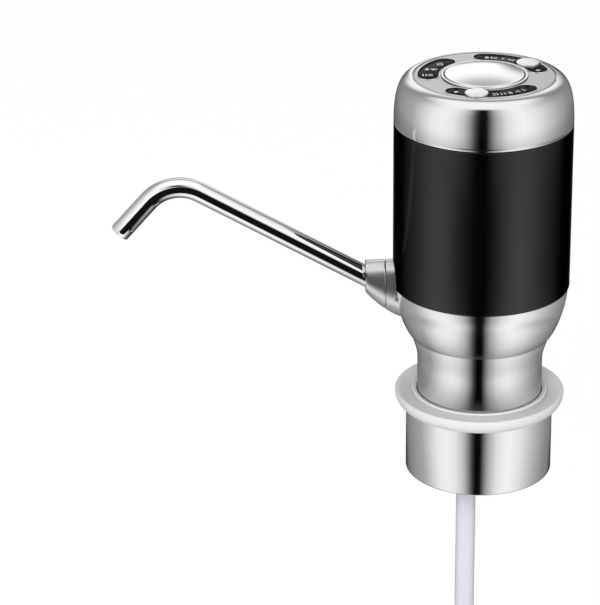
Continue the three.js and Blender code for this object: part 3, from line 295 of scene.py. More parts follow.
def spot_on(wire, stretch=(1.0, 1.0, 1.0)):
    """The point on the piece, drawn out along the axes"""
    place = wire.node("ShaderNodeTexCoord", output="Object")
    settings = {"operation": "MULTIPLY"}
    return wire.node("ShaderNodeVectorMath", settings, {0: place, 1: stretch})


def parts_of(place):
    """The three parts of a place or a heading"""
    return [place.node("ShaderNodeSeparateXYZ", sockets={0: place}, output=axis) for axis in "XYZ"]


def length_of(x, y):
    return x.maths("SQRT", x * x + y * y)


def ramp(value, stops):
    """The colour at a value, blended between its stops"""
    return value.node("ShaderNodeValToRGB", {"stops": stops}, {0: value})


def mapped(value, start, end, first=0.0, last=1.0, curve="SMOOTHSTEP"):
    """A value's way from start to end becomes one from first to last"""
    settings = {"interpolation_type": curve}
    sockets = {"Value": value, "From Min": start, "From Max": end, "To Min": first, "To Max": last}
    return value.node("ShaderNodeMapRange", settings, sockets)


def cloud(wire, scale, detail=3.0, stretch=(1.0, 1.0, 1.0)):
    sockets = {"Vector": spot_on(wire, stretch), "Scale": scale, "Detail": detail}
    return wire.node("ShaderNodeTexNoise", sockets=sockets)


def blend_colours(wire, mask, first, second):
    """The first colour, or the second one where the mask is 1"""
    settings = {"data_type": "RGBA"}
    return wire.node("ShaderNodeMix", settings, {0: mask, 6: first, 7: second}, output=2)


def mix_shaders(wire, mask, first, second):
    return wire.node("ShaderNodeMixShader", sockets={0: mask, 1: first, 2: second})


def relief(wire, height, depth, strength=1.0):
    return wire.node("ShaderNodeBump", sockets={"Height": height, "Distance": depth, "Strength": strength})


def finish_material(material, wire, sockets):
    close_tree(material.node_tree, wire.node("ShaderNodeBsdfPrincipled", sockets=sockets))
    return material


def mottled(name, colour, roughness, spread=0.06, scale=60.0, grain=900.0, depth=0.004 * MM, **fixed):
    """A moulded or cast finish: faint clouds in the colour, uneven gloss and a fine grain"""
    material, wire = new_material(name)
    clouds = cloud(wire, scale, detail=4.0)
    fine = cloud(wire, grain, detail=2.0)
    brightest = min(1 + spread, 1 / max(*colour))
    sockets = {
        "Base Color": blend_colours(wire, clouds, rgba(colour, 1 - spread), rgba(colour, brightest)),
        "Roughness": roughness * (1 - spread) + clouds * (roughness * 2 * spread) + fine * 0.03,
        "Normal": relief(wire, fine, depth),
    }
    sockets.update({key.replace("_", " "): value for key, value in fixed.items()})
    return finish_material(material, wire, sockets)


def polished(name, colour, roughness, smudge=0.04, lines=0.0, spread=0.02, tones=()):
    """A metal finish: faint smudges in the gloss, turning lines, and painted highlight and shade bands that
    may vary upwards
    """
    material, wire = new_material(name)
    smudges = cloud(wire, 38.0, detail=5.0)
    turning = cloud(wire, 1.0, detail=2.0, stretch=(6.0, 6.0, 5200.0))
    base = blend_colours(wire, smudges, rgba(colour, 1 - spread), rgba(colour))
    # Painted light: a colour ramp by height paints highlight and shade bands into the metal
    if tones:
        foot, reach = tones[0][0], tones[-1][0] - tones[0][0]
        height = parts_of(spot_on(wire))[2]
        painted_light = ramp((height - foot) / reach, [((z - foot) / reach, rgba(colour, t)) for z, t in tones])
        base = blend_colours(wire, smudges * spread, painted_light, grey(0.0))
    sockets = {
        "Base Color": base,
        "Roughness": roughness + smudges * smudge + turning * lines,
        "Normal": relief(wire, turning, depth=0.0006 * MM, strength=0.35 if lines else 0.1),
        "Metallic": 1.0,
    }
    return finish_material(material, wire, sockets)


def brushed(name, colour, roughness):
    """A face brushed in straight strokes"""
    material, wire = new_material(name)
    strokes = cloud(wire, 1.0, stretch=(90.0, 7000.0, 90.0))
    broad = cloud(wire, 1.0, stretch=(30.0, 1100.0, 30.0))
    sockets = {
        "Base Color": blend_colours(wire, strokes, rgba(colour, 0.88), rgba(colour, 1.08)),
        "Roughness": roughness + strokes * 0.12 + broad * 0.08,
        "Normal": relief(wire, strokes + broad * 0.6, depth=0.004 * MM, strength=0.6),
        "Metallic": 1.0,
    }
    return finish_material(material, wire, sockets)


# The housing's painted highlight and painted shade at heights from the crease, in millimetres
CREASE_PAINTED_LIGHT = [
    (-10, 1.0), (-7, 1.07), (-4, 1.13), (-1.2, 1.09), (-0.3, 1.0), (0.2, 0.86),
    (4, 0.87), (8, 0.89), (11, 0.96), (14, 1.0),
]


def crease_painted_light():
    """The housing's colour by height: a painted highlight under the crease, painted shade over it"""
    crease = bpy.context.scene.pump_body.crease_height
    return [(crease + rise * MM, share) for rise, share in CREASE_PAINTED_LIGHT]


FINISHES = {}


def recipes():
    """Each finish: how it is made, and with which colour, gloss and grain"""
    c = bpy.context.scene.pump_colours
    silver = dict(colour=c.silver, roughness=c.silver_roughness, lines=0.02)
    plating = dict(colour=c.button, smudge=0.03, spread=0.005)
    return {
        "satin_silver": (polished, silver),
        # Painted shade over the housing's crease and a painted highlight under it
        "housing_silver": (polished, dict(silver, tones=crease_painted_light())),
        "cast_silver": (polished, dict(colour=(0.76, 0.76, 0.77), roughness=0.24, smudge=0.05, lines=0.02)),
        "brushed_plate": (brushed, dict(colour=c.plate, roughness=0.3)),
        "polished_tube": (
            mottled,
            dict(
                colour=c.steel,
                roughness=c.steel_roughness,
                spread=0.03,
                scale=38.0,
                depth=0.0001 * MM,
                Metallic=1.0,
            ),
        ),
        "bright_rim": (polished, dict(colour=(0.78, 0.78, 0.785), roughness=0.14)),
        "small_plating": (polished, dict(plating, roughness=0.42)),
        "button_plating": (polished, dict(plating, roughness=0.2)),
        "sleeve_black": (
            mottled,
            dict(
                colour=c.black,
                roughness=c.black_roughness,
                spread=0.1,
                scale=40.0,
                grain=1600.0,
                depth=0.002 * MM,
                Metallic=1.0,
                Specular_Tint=grey(0.15),
            ),
        ),
        "window_gloss": (
            mottled,
            dict(
                colour=c.glass,
                roughness=0.07,
                spread=0.2,
                scale=90.0,
                grain=700.0,
                depth=0.0005 * MM,
                Specular_IOR_Level=0.012,
            ),
        ),
        "mark_white": (
            mottled,
            dict(colour=c.marks, roughness=0.5, spread=0.04, scale=400.0, grain=3000.0, depth=0.001 * MM),
        ),
        # Painted shade on the collar's ring and painted highlights on its two rims
        "collar_pale": (pale_plastic_with_painted_light, {}),
        "hose_milky": (
            mottled,
            dict(colour=c.hose, roughness=0.24, spread=0.05, scale=120.0, grain=500.0, depth=0.01 * MM),
        ),
        "seal_white": (
            mottled,
            dict(colour=c.rubber, roughness=0.55, spread=0.05, scale=150.0, grain=1500.0, depth=0.006 * MM),
        ),
        "port_steel": (polished, dict(colour=(0.62, 0.62, 0.63), roughness=0.25, smudge=0.1)),
        "bezel_black": (
            mottled,
            dict(colour=(0.02, 0.02, 0.021), roughness=0.42, spread=0.1, scale=80.0, grain=2000.0),
        ),
        "frame_grey": (
            mottled,
            dict(colour=(0.05, 0.051, 0.055), roughness=0.5, spread=0.12, scale=70.0, grain=1400.0),
        ),
        "fitting_white": (
            mottled,
            dict(colour=(0.78, 0.77, 0.72), roughness=0.42, spread=0.04, scale=90.0, grain=1500.0),
        ),
        "plain_steel": (
            polished,
            dict(colour=(0.6, 0.6, 0.61), roughness=0.3, smudge=0.12, lines=0.05, spread=0.15),
        ),
        "motor_steel": (
            polished,
            dict(colour=(0.52, 0.53, 0.55), roughness=0.34, smudge=0.14, lines=0.08, spread=0.2),
        ),
        "cell_wrap": (mottled, dict(colour=(0.012, 0.115, 0.4), roughness=0.32, spread=0.12, scale=45.0)),
        "turned_brass": (
            polished,
            dict(colour=(0.62, 0.43, 0.13), roughness=0.28, smudge=0.1, lines=0.08, spread=0.2),
        ),
        "lead_red": (
            mottled,
            dict(colour=(0.45, 0.022, 0.015), roughness=0.45, spread=0.15, scale=300.0, grain=2500.0),
        ),
        "board_lacquer": (board_lacquer, {}),
        "diaphragm_rubber": (
            mottled,
            dict(colour=(0.02, 0.02, 0.022), roughness=0.7, spread=0.2, scale=150.0, grain=1500.0),
        ),
    }


def finish(name):
    """The finish of that name, made once"""
    if name not in FINISHES:
        kind, values = recipes()[name]
        FINISHES[name] = kind(name, **values)
    return FINISHES[name]


# The collar's painted shade and painted highlights at distances from the axis, in millimetres
COLLAR_PAINTED_LIGHT = [
    (28.2, 0.72), (28.42, 1.17), (28.85, 1.17), (29.1, 0.95), (33.0, 1.0), (36.8, 1.06),
    (38.2, 1.17),
]
COLLAR_PAINTED_LIGHT_START = 20
COLLAR_PAINTED_LIGHT_REACH = 20
# Painted shade: the ring under this drop from its top and inside this radius is painted darker
RING_SHADE_EDGE = 0.35 * MM
RING_SHADE_BLEND = 0.2 * MM
RING_SHADE_RADIUS = 29.2 * MM


def pale_plastic_with_painted_light(name):
    """Pale moulded plastic, with painted shade on its ring and painted highlights on its two rims"""
    material, wire = new_material(name)
    body = bpy.context.scene.pump_body
    colour = bpy.context.scene.pump_colours.collar
    x, y, z = parts_of(spot_on(wire))
    away = length_of(x, y)
    start, reach = COLLAR_PAINTED_LIGHT_START, COLLAR_PAINTED_LIGHT_REACH
    stops = [((place - start) / reach, rgba(colour, share)) for place, share in COLLAR_PAINTED_LIGHT]
    # Painted shade inside the ring and painted highlights on its two rims, by distance from the axis
    outward = ramp((away - start * MM) / (reach * MM), stops)
    edge = body.ring_top - RING_SHADE_EDGE
    under = mapped(z, edge - RING_SHADE_BLEND, edge, 1.0, 0.0, "LINEAR")
    inside = wire.maths("LESS_THAN", away, RING_SHADE_RADIUS)
    clouds = cloud(wire, 50.0, detail=4.0)
    # Painted shade on the ring's wall under its top edge
    painted_light = blend_colours(wire, under * inside, outward, rgba(colour, 0.76))
    sockets = {
        "Base Color": blend_colours(wire, clouds * 0.03, painted_light, grey(0.6)),
        "Roughness": 0.35 + clouds * 0.03,
        "Normal": relief(wire, cloud(wire, 1200.0, detail=2.0), depth=0.003 * MM),
    }
    return finish_material(material, wire, sockets)


def board_lacquer(name):
    """Green lacquer over copper tracks"""
    material, wire = new_material(name)
    settings = {"feature": "F1", "distance": "MANHATTAN"}
    cells = wire.node("ShaderNodeTexVoronoi", settings, {"Vector": spot_on(wire), "Scale": 260.0})
    tracks = wire.maths("GREATER_THAN", cells, 0.62)
    clouds = cloud(wire, 80.0)
    green = blend_colours(wire, clouds, (0.005, 0.06, 0.026, 1.0), (0.007, 0.085, 0.036, 1.0))
    sockets = {
        "Base Color": blend_colours(wire, tracks, green, (0.02, 0.16, 0.06, 1.0)),
        "Roughness": 0.34 + clouds * 0.12,
        "Normal": relief(wire, tracks, depth=0.02 * MM),
    }
    return finish_material(material, wire, sockets)


# Mesh making


def around(circle, turn, centre=(0.0, 0.0)):
    """A place on a level circle"""
    return (centre[0] + circle * math.cos(turn), centre[1] + circle * math.sin(turn))


def ring_at(radius, height, centre=(0.0, 0.0), segments=TURN_SEGMENTS):
    """A level circle, or one point where its radius is nothing"""
    if radius < 1e-7:
        return [Vector((centre[0], centre[1], height))]
    steps = [2 * math.pi * k / segments for k in range(segments)]
    return [Vector((*around(radius, t, centre), height)) for t in steps]


def add_walls(bm, rings, closed=False):
    """Joins each ring to the next one, and the last to the first where the wall closes"""
    layers = [[bm.verts.new(point) for point in ring] for ring in rings]
    pairs = list(zip(layers, layers[1:]))
    if closed:
        pairs.append((layers[-1], layers[0]))
    for low, high in pairs:
        for k in range(max(len(low), len(high))):
            following = k + 1
            corners = [
                low[k % len(low)],
                low[following % len(low)],
                high[following % len(high)],
                high[k % len(high)],
            ]
            corners = list(dict.fromkeys(corners))
            if len(corners) > 2:
                bm.faces.new(corners)
    return layers


def add_ends(bm, layers):
    for layer in (layers[0], layers[-1]):
        if len(layer) > 2:
            bm.faces.new(layer)


def soften(piece, degrees=35.0):
    """Smooth faces, with edges sharper than the angle or between finishes kept crisp"""
    bm = bmesh.new()
    bm.from_mesh(piece.data)
    bmesh.ops.recalc_face_normals(bm, faces=bm.faces)
    limit = math.radians(degrees)
    for face in bm.faces:
        face.smooth = True
    for edge in bm.edges:
        alike = len({face.material_index for face in edge.link_faces}) == 1
        edge.smooth = len(edge.link_faces) == 2 and alike and edge.calc_face_angle(0.0) < limit
    bm.to_mesh(piece.data)
    bm.free()
    piece.data.update()
    return piece


def add_object(name, bm):
    """An object with the mesh that was built, in the scene"""
    mesh = bpy.data.meshes.new(name)
    bm.to_mesh(mesh)
    bm.free()
    made = bpy.data.objects.new(name, mesh)
    bpy.context.scene.collection.objects.link(made)
    return made


def new_piece(name, bm, look=None):
    piece = add_object(name, bm)
    if look:
        piece.data.materials.append(finish(look))
    return soften(piece)


def skin(name, rings, look=None, closed=False):
    bm = bmesh.new()
    layers = add_walls(bm, rings, closed)
    if not closed:
        add_ends(bm, layers)
    return new_piece(name, bm, look)


def holed_plate(name, outer, holes, look=None):
    """Stacks of outlines from the underside to the top: one outside, and one for each hole"""
    bm = bmesh.new()
    stacks = [add_walls(bm, rings) for rings in [outer, *holes]]
    for level in (0, -1):
        loops = [stack[level] for stack in stacks]
        corners = [vertex for loop in loops for vertex in loop]
        flat = [[vertex.co for vertex in loop] for loop in loops]
        for triangle in tessellate_polygon(flat):
            if len(set(triangle)) == 3:
                bm.faces.new([corners[index] for index in triangle])
    return new_piece(name, bm, look)


ROUND_STEPS = 4
ROUND_SIDE_SHARE = 0.45

# A side this many roundings long gets one more point, so that it stays flat up to its corner
GUIDE_ROOM = 4
GUIDE_PLACE = 1.6


def rounded(corners):
    """Corners (radius, height, rounding) of a section become points with round corners"""
    points = []
    count = len(corners)
    for index, corner in enumerate(corners):
        here = Vector(corner[:2])
        rounding = corner[2] if len(corner) > 2 else 0.0
        if rounding <= 0.0:
            points.append(here)
            continue
        before = Vector(corners[index - 1][:2]) - here
        after = Vector(corners[(index + 1) % count][:2]) - here
        half = before.angle(after) / 2
        longest = ROUND_SIDE_SHARE * min(before.length, after.length)
        reach = min(rounding / math.tan(half), longest)
        size = reach * math.tan(half)
        towards = (before.normalized() + after.normalized()).normalized()
        centre = here + towards * (size / math.sin(half))
        first = here + before.normalized() * reach - centre
        last = here + after.normalized() * reach - centre
        swing = first.angle_signed(last)
        if before.length > GUIDE_ROOM * reach:
            points.append(here + before.normalized() * reach * GUIDE_PLACE)
        for step in range(ROUND_STEPS + 1):
            points.append(centre + Matrix.Rotation(-swing * step / ROUND_STEPS, 2) @ first)
        if after.length > GUIDE_ROOM * reach:
            points.append(here + after.normalized() * reach * GUIDE_PLACE)
    return points


def turned(name, corners, look=None, centre=(0.0, 0.0), segments=TURN_SEGMENTS):
    """A section turned round an upright axis: it closes on itself, or meets the axis"""
    points = rounded(corners)
    rings = [ring_at(point[0], point[1], centre, segments) for point in points]
    open_ends = len(rings[0]) == 1 and len(rings[-1]) == 1
    return skin(name, rings, look, closed=not open_ends)


def bezier(points, steps):
    """Points on a cubic curve from its first point to its last"""
    a, b, c, d = [Vector(point) for point in points]
    curve = []
    for i in range(steps + 1):
        t = i / steps
        s = 1 - t
        curve.append(a * s**3 + b * (3 * s * s * t) + c * (3 * s * t * t) + d * t**3)
    return curve


def tube_rings(path, radius, sides, side=Vector((0, 1, 0))):
    """Rings across a path, each turned with it"""
    rings = []
    for index, point in enumerate(path):
        before = path[max(index - 1, 0)]
        after = path[min(index + 1, len(path) - 1)]
        along = (after - before).normalized()
        across = along.cross(side)
        if across.length < 1e-6:
            across = along.cross(Vector((1, 0, 0)))
        across.normalize()
        other = along.cross(across).normalized()
        size = radius[index] if isinstance(radius, list) else radius
        rings.append(
            [
                point
                + across * (size * math.cos(2 * math.pi * k / sides))
                + other * (size * math.sin(2 * math.pi * k / sides))
                for k in range(sides)
            ]
        )
    return rings


def tube(name, path, outer, inner=0.0, look=None, sides=40, edge=0.0, side=Vector((0, 1, 0))):
    """A tube along a path, with its rims rounded, hollow where it has a bore"""
    path = [Vector(point) for point in path]
    edge = edge or 0.15 * MM
    first = (path[1] - path[0]).normalized()
    last = (path[-1] - path[-2]).normalized()
    middle = path[1:-1]
    bends = [0.0, 0.3, 1.0]
    start = [path[0] + first * edge * share for share in bends]
    end = [path[-1] - last * edge * share for share in reversed(bends)]
    line = [*start, *middle, *end]

    def sizes(radius, sign):
        rim = [radius - sign * edge * (1 - share) * (1 - share) for share in bends]
        return [*rim, *[radius] * len(middle), *reversed(rim)]

    rings = tube_rings(line, sizes(outer, 1), sides, side)
    if inner:
        rings += reversed(tube_rings(line, sizes(inner, -1), sides, side))
    return skin(name, rings, look, closed=bool(inner))


def carve(piece, tool, operation="DIFFERENCE"):
    """Cuts a tool out of a piece or joins it on, and drops the tool"""
    change = piece.modifiers.new("carve", "BOOLEAN")
    change.object = tool
    change.operation = operation
    change.solver = "EXACT"
    graph = bpy.context.evaluated_depsgraph_get()
    shaped = bpy.data.meshes.new_from_object(piece.evaluated_get(graph))
    piece.modifiers.clear()
    former = piece.data
    piece.data = shaped
    shaped.name = piece.name
    bpy.data.meshes.remove(former)
    bpy.data.objects.remove(tool)
    return piece


def rod(radius, low, high, centre=(0.0, 0.0), segments=48):
    corners = [(0.0, low), (radius, low), (radius, high), (0.0, high)]
    return turned("tool", corners, None, centre, segments)


def lay_along_spout(piece):
    """Lays a piece made upright from the mouth along the spout's axis"""
    sizes = bpy.context.scene.pump_spout
    lean = Matrix.Rotation(math.pi / 2 + sizes.slope, 4, "Y")
    place = Matrix.Translation((-sizes.mouth_reach, 0.0, sizes.mouth_height))
    piece.data.transform(place @ lean)
    return piece


def settle(piece, body, slot, *nodes):
    """Says what a piece moves with and hides the nodes it stands for; its slot is not used"""
    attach(piece, body)
    if nodes:
        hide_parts(*nodes)
    return piece


# Camera
# The camera's place in metres, its sensor in millimetres, and its near and far limits
CAMERA_PLACE = (-0.10193, -1.16508, 0.55099)
SENSOR_WIDTH = 36.0
NEAREST = 0.02
FARTHEST = 50.0


class PUMP_OT_camera(bpy.types.Operator):
    """Set up the camera at the photograph's place"""

    bl_idname = "pump.camera"
    bl_label = "Camera"

    def execute(self, context):
        stage = context.scene.pump_stage
        camera = bpy.data.objects.new("camera", bpy.data.cameras.new("camera"))
        context.scene.collection.objects.link(camera)
        camera.data.sensor_width = SENSOR_WIDTH
        camera.data.lens = stage.lens
        camera.data.clip_start = NEAREST
        camera.data.clip_end = FARTHEST
        right = Vector((math.cos(stage.turn), math.sin(stage.turn), 0.0))
        level = math.cos(stage.tilt)
        back = Vector((math.sin(stage.turn) * level, -math.cos(stage.turn) * level, math.sin(stage.tilt)))
        upward = back.cross(right)
        leaned = right * math.cos(stage.roll) + upward * math.sin(stage.roll)
        raised = upward * math.cos(stage.roll) - right * math.sin(stage.roll)
        axes = Matrix((leaned, raised, back)).transposed().to_4x4()
        camera.matrix_world = Matrix.Translation(CAMERA_PLACE) @ axes
        context.scene.camera = camera
        context.scene.view_settings.view_transform = "Standard"
        return {"FINISHED"}


# Hose: its run hangs straight down, then a loop is put away in a tie

HOSE_RUN = [
    (-0.005, 0.0, -0.0003),
    (-0.005, 0.0, -0.02),
    (-0.005, 0.0, -0.045),
    (-0.005, 0.0, -0.07),
    (-0.005, 0.0, -0.095),
    (-0.005, 0.0, -0.12),
    (-0.005, 0.0, -0.1495),
]
COIL_SPACING = 9.5 * MM
COIL_STEPS = 72
TAIL_LENGTH = 28 * MM
TIE_HEIGHT = 4 * MM
TIE_WALL = 1.3 * MM


def hose_route():
    sizes = bpy.context.scene.pump_spout
    route = [Vector(point) for point in HOSE_RUN]
    x, y, top = route[-1]
    middle = top - 2 * sizes.hose_radius
    for i in range(COIL_STEPS + 1):
        turn = 2 * math.pi * i / COIL_STEPS
        aside = COIL_SPACING * (turn - math.sin(turn)) / (2 * math.pi)
        across = sizes.coil_radius * (1 - math.cos(turn))
        route.append(Vector((x + across, y + aside, middle - sizes.coil_radius * math.sin(turn))))
    low = middle - 2 * sizes.hose_radius
    for drop in (0.0, GAP + TAIL_LENGTH / 2, GAP + TAIL_LENGTH):
        route.append(Vector((x, COIL_SPACING, low - drop)))
    return route, middle


TIE_EDGE = 0.35 * MM
TIE_STEPS = 24
HOSE_SIDES = 32


def tie_ring(radius, height, x):
    """The tie's outline round the two strands of the loop"""
    ring = []
    for centre, first in ((COIL_SPACING, 0.0), (0.0, math.pi)):
        for i in range(TIE_STEPS + 1):
            angle = first + math.pi * i / TIE_STEPS
            ring.append(Vector((*around(radius, angle, (x, centre)), height)))
    return ring


class PUMP_OT_hose(bpy.types.Operator):
    """Make the intake hose and the tie round its loop"""

    bl_idname = "pump.hose"
    bl_label = "Intake hose"

    def execute(self, context):
        sizes = context.scene.pump_spout
        route, middle = hose_route()
        hose = tube("water_hose", route, sizes.hose_radius, sizes.hose_bore, "hose_milky", HOSE_SIDES, SOFT)
        settle(hose, BODY, "clear_hose", "intake_hose", "hose_coil", "hose_tail")
        inner = sizes.hose_radius + 2 * GAP
        outer = inner + TIE_WALL
        low, high = middle - TIE_HEIGHT / 2, middle + TIE_HEIGHT / 2
        x = route[0].x
        edge, bevel = TIE_EDGE, BEVEL * TIE_EDGE
        levels = [
            (outer - edge, low),
            (outer - bevel, low + bevel),
            (outer, low + edge),
            (outer, high - edge),
            (outer - bevel, high - bevel),
            (outer - edge, high),
            (inner + edge, high),
            (inner, high - edge),
            (inner, low + edge),
            (inner + edge, low),
        ]
        tie = skin("tie_band", [tie_ring(r, z, x) for r, z in levels], "seal_white", closed=True)
        settle(tie, BODY, "white_rubber", "hose_tie")
        return {"FINISHED"}


# Collar, seal and skirt
# Collar: its floor, the seal's seat under it, its spigot, flange, dish and raised ring
COLLAR_FLOOR = 4.0 * MM
SEAT_START = 18.7 * MM
SEAT_END = 28.0 * MM
SEAT_TOP = 2.0 * MM
COLLAR_SPIGOT = 29.5 * MM
COLLAR_SPIGOT_FOOT = -9.0 * MM
FLANGE_FOOT = 0.6 * MM
FLANGE_START = 2.5 * MM
FLANGE_BEND = 2.6 * MM
FLANGE_TOP = 6.6 * MM
FLANGE_EDGE = 0.9 * MM
FLANGE_STEPS = 8
DISH_RADIUS = 33.9 * MM
DISH_TOP = 6.25 * MM
DISH_LOW = 3.5 * MM
RING_OUTER = 28.8 * MM
RING_INNER = 26.9 * MM
SCREW_HEAD = 2.5 * MM
SCREW_HEAD_SEAT = 1.8 * MM

# Mouth seal with its groove, and skirt
SEAL_INNER = 19.0 * MM
SEAL_OUTER = 27.7 * MM
SEAL_HEIGHT = 1.7 * MM
SEAL_GROOVE = (23.0 * MM, 23.35 * MM, 23.7 * MM)
SEAL_GROOVE_DEPTH = 0.3 * MM
SKIRT_WALL = 1.5 * MM
SKIRT_TOP = 0.3 * MM
SKIRT_EDGE = 0.6 * MM


class PUMP_OT_collar(bpy.types.Operator):
    """Make the pale collar, the mouth seal under it and the silver skirt"""

    bl_idname = "pump.collar"
    bl_label = "Collar and skirt"

    def execute(self, context):
        sizes = context.scene.pump_body
        self.make_collar(sizes)
        self.make_seal()
        self.make_skirt(sizes)
        return {"FINISHED"}

    def flange_outline(self, radius):
        """The flange from its underside round its side and over its top edge"""
        start = Vector((radius - FLANGE_START, FLANGE_FOOT))
        bend = Vector((radius, FLANGE_BEND))
        end = Vector((radius, FLANGE_TOP - FLANGE_EDGE))
        line = []
        for i in range(FLANGE_STEPS + 1):
            t = i / FLANGE_STEPS
            line.append(tuple(start * (1 - t) ** 2 + bend * (2 * t * (1 - t)) + end * t * t))
        middle = (radius - FLANGE_EDGE, FLANGE_TOP - FLANGE_EDGE)
        for i in range(1, FLANGE_STEPS + 1):
            line.append(around(FLANGE_EDGE, math.pi / 2 * i / FLANGE_STEPS, middle))
        return line

    def make_collar(self, sizes):
        # Its finish has painted shade on the ring and painted highlights on its two rims
        collar = turned(
            "pale_collar",
            [
                (0.0, 0.0),
                (SEAT_START, 0.0, FINE),
                (SEAT_START, SEAT_TOP),
                (SEAT_END, SEAT_TOP),
                (SEAT_END, COLLAR_SPIGOT_FOOT, ROUND),
                (COLLAR_SPIGOT, COLLAR_SPIGOT_FOOT, ROUND),
                (COLLAR_SPIGOT, FLANGE_FOOT, SOFT),
                *self.flange_outline(sizes.flange_radius),
                (DISH_RADIUS, DISH_TOP),
                (RING_OUTER, DISH_LOW, FULL),
                (RING_OUTER, sizes.ring_top, FULL),
                (RING_INNER, sizes.ring_top, SOFT),
                (RING_INNER, COLLAR_FLOOR, SOFT),
                (0.0, COLLAR_FLOOR),
            ],
            "collar_pale",
        )
        carve(collar, rod(HOSE_HOLE, -CUT, COLLAR_FLOOR + CUT, HOSE_PLACE))
        for degrees in POST_TURNS:
            spot = around(POST_CIRCLE, math.radians(degrees))
            carve(collar, rod(SCREW_HOLE, -CUT, COLLAR_FLOOR + CUT, spot, 24))
            carve(collar, rod(SCREW_HEAD, -CUT, SCREW_HEAD_SEAT, spot, 24))
        soften(collar)
        settle(collar, BODY, "pale_collar", "seat_collar")

    def make_seal(self):
        groove_start, groove_middle, groove_end = SEAL_GROOVE
        seal = turned(
            "bottle_seal",
            [
                (SEAL_INNER, 0.0, FULL),
                (groove_start, 0.0),
                (groove_middle, SEAL_GROOVE_DEPTH),
                (groove_end, 0.0),
                (SEAL_OUTER, 0.0, FULL),
                (SEAL_OUTER, SEAL_HEIGHT, FINE),
                (SEAL_INNER, SEAL_HEIGHT, FINE),
            ],
            "seal_white",
        )
        settle(seal, BODY, "white_rubber", "mouth_seal")

    def make_skirt(self, sizes):
        inner = sizes.skirt_radius - SKIRT_WALL
        skirt = turned(
            "silver_skirt",
            [
                (inner, sizes.skirt_low, ROUND),
                (sizes.skirt_radius, sizes.skirt_low, SKIRT_EDGE),
                (sizes.skirt_radius, SKIRT_TOP, FINE),
                (inner, SKIRT_TOP, FINE),
            ],
            "satin_silver",
        )
        settle(skirt, BODY, "satin_silver", "neck_skirt")


# Lower housing with the spout's boss, and the socket

NOSE = 8.2 * MM
BOSS_ROOT = 20.6 * MM
BOSS_RISE = 0.8 * MM
BOSS_CHIN = 12.7 * MM
BOSS_SPREAD = 2.2 * MM
CHIN_POWER = 1.9


def boss_ring(distance, grow=0.0, sides=96):
    """The boss's outline across, from the round mouth to the tall oval with a chin"""
    sizes = bpy.context.scene.pump_spout
    share = distance / BOSS_ROOT
    top = sizes.mouth_height + sizes.mouth_radius + BOSS_RISE * share + grow
    chin = 1 - (1 - max(min(share, 1.0), 0.0)) ** CHIN_POWER
    low = sizes.mouth_height - sizes.mouth_radius - BOSS_CHIN * chin - grow
    half = sizes.mouth_radius + BOSS_SPREAD * share + grow
    middle, tall = (top + low) / 2, (top - low) / 2
    ring = []
    for k in range(sides):
        t = 2 * math.pi * k / sides
        height = middle + tall * math.sin(t)
        ring.append(Vector((distance - sizes.mouth_reach, half * math.cos(t), height)))
    return ring


def boss_loft(name, start, end, grow=0.0, steps=24, look=None, edge=0.0):
    """The boss between two distances from the mouth, with its end edges rounded"""
    stops = [(start + (end - start) * i / steps, grow) for i in range(steps + 1)]
    if edge:
        stops = [stop for stop in stops if start + edge < stop[0] < end - edge]
        curve = [(edge * (1 - math.cos(t)), edge * (1 - math.sin(t))) for t in (0.0, 0.5, 1.0, math.pi / 2)]
        first = [(start + along, grow - inward) for along, inward in curve]
        last = [(end - along, grow - inward) for along, inward in reversed(curve)]
        stops = [*first, *stops, *last]
    return skin(name, [boss_ring(distance, size) for distance, size in stops], look)


# How far the curves of the flare and of the bowl are pulled, outwards and upwards
FLARE_PULL = 4.7 * MM
FLARE_END = (0.9 * MM, 3.5 * MM)
BOWL_START = (2.7 * MM, 1.7 * MM)
BOWL_PULL = 8.7 * MM


def shell_curve(sizes, inset=0.0, steps=18):
    """The outline of the neck's flare up to the crease, and of the bowl up to its rim"""
    neck, crease, bowl = sizes.neck_radius, sizes.crease_radius, sizes.bowl_radius
    foot, turn, rim = sizes.flare_height, sizes.crease_height, sizes.bowl_height
    flare = [
        (neck, foot),
        (neck, foot + FLARE_PULL),
        (crease - FLARE_END[0], turn - FLARE_END[1]),
        (crease, turn),
    ]
    side = [
        (crease, turn),
        (crease + BOWL_START[0], turn + BOWL_START[1]),
        (bowl, rim - BOWL_PULL),
        (bowl, rim),
    ]
    line = bezier(flare, steps // 2) + bezier(side, steps)[1:]
    return [(point.x - inset, point.y) for point in line]


def shell_radius(line, height, above):
    """The shell's radius at a height, from its outline"""
    for (low_radius, low), (high_radius, high) in zip(line, line[1:]):
        if low <= height < high:
            return low_radius + (high_radius - low_radius) * (height - low) / (high - low)
    return above


# Housing: its floor and edges, the spout's seat and bore, the screw posts inside
HOUSING_FLOOR = 3 * MM
NECK_GUIDE = 6 * MM
BOWL_EDGE = 0.8 * MM
SPIGOT_EDGE = 0.15 * MM
FLOOR_EDGE = 0.6 * MM
SEAT_RADIUS = 8.1 * MM
SEAT_DEPTHS = (14.3 * MM, 22.66 * MM)
BORE_RADIUS = 6.2 * MM
BORE_DEPTH = 24.16 * MM
POST_RADIUS = 3.2 * MM
POST_HEIGHT = 12 * MM
POST_HOLE_HEIGHT = 10.1 * MM
BOSS_PROUD = 0.02 * MM
CREASE_DEGREES = 30


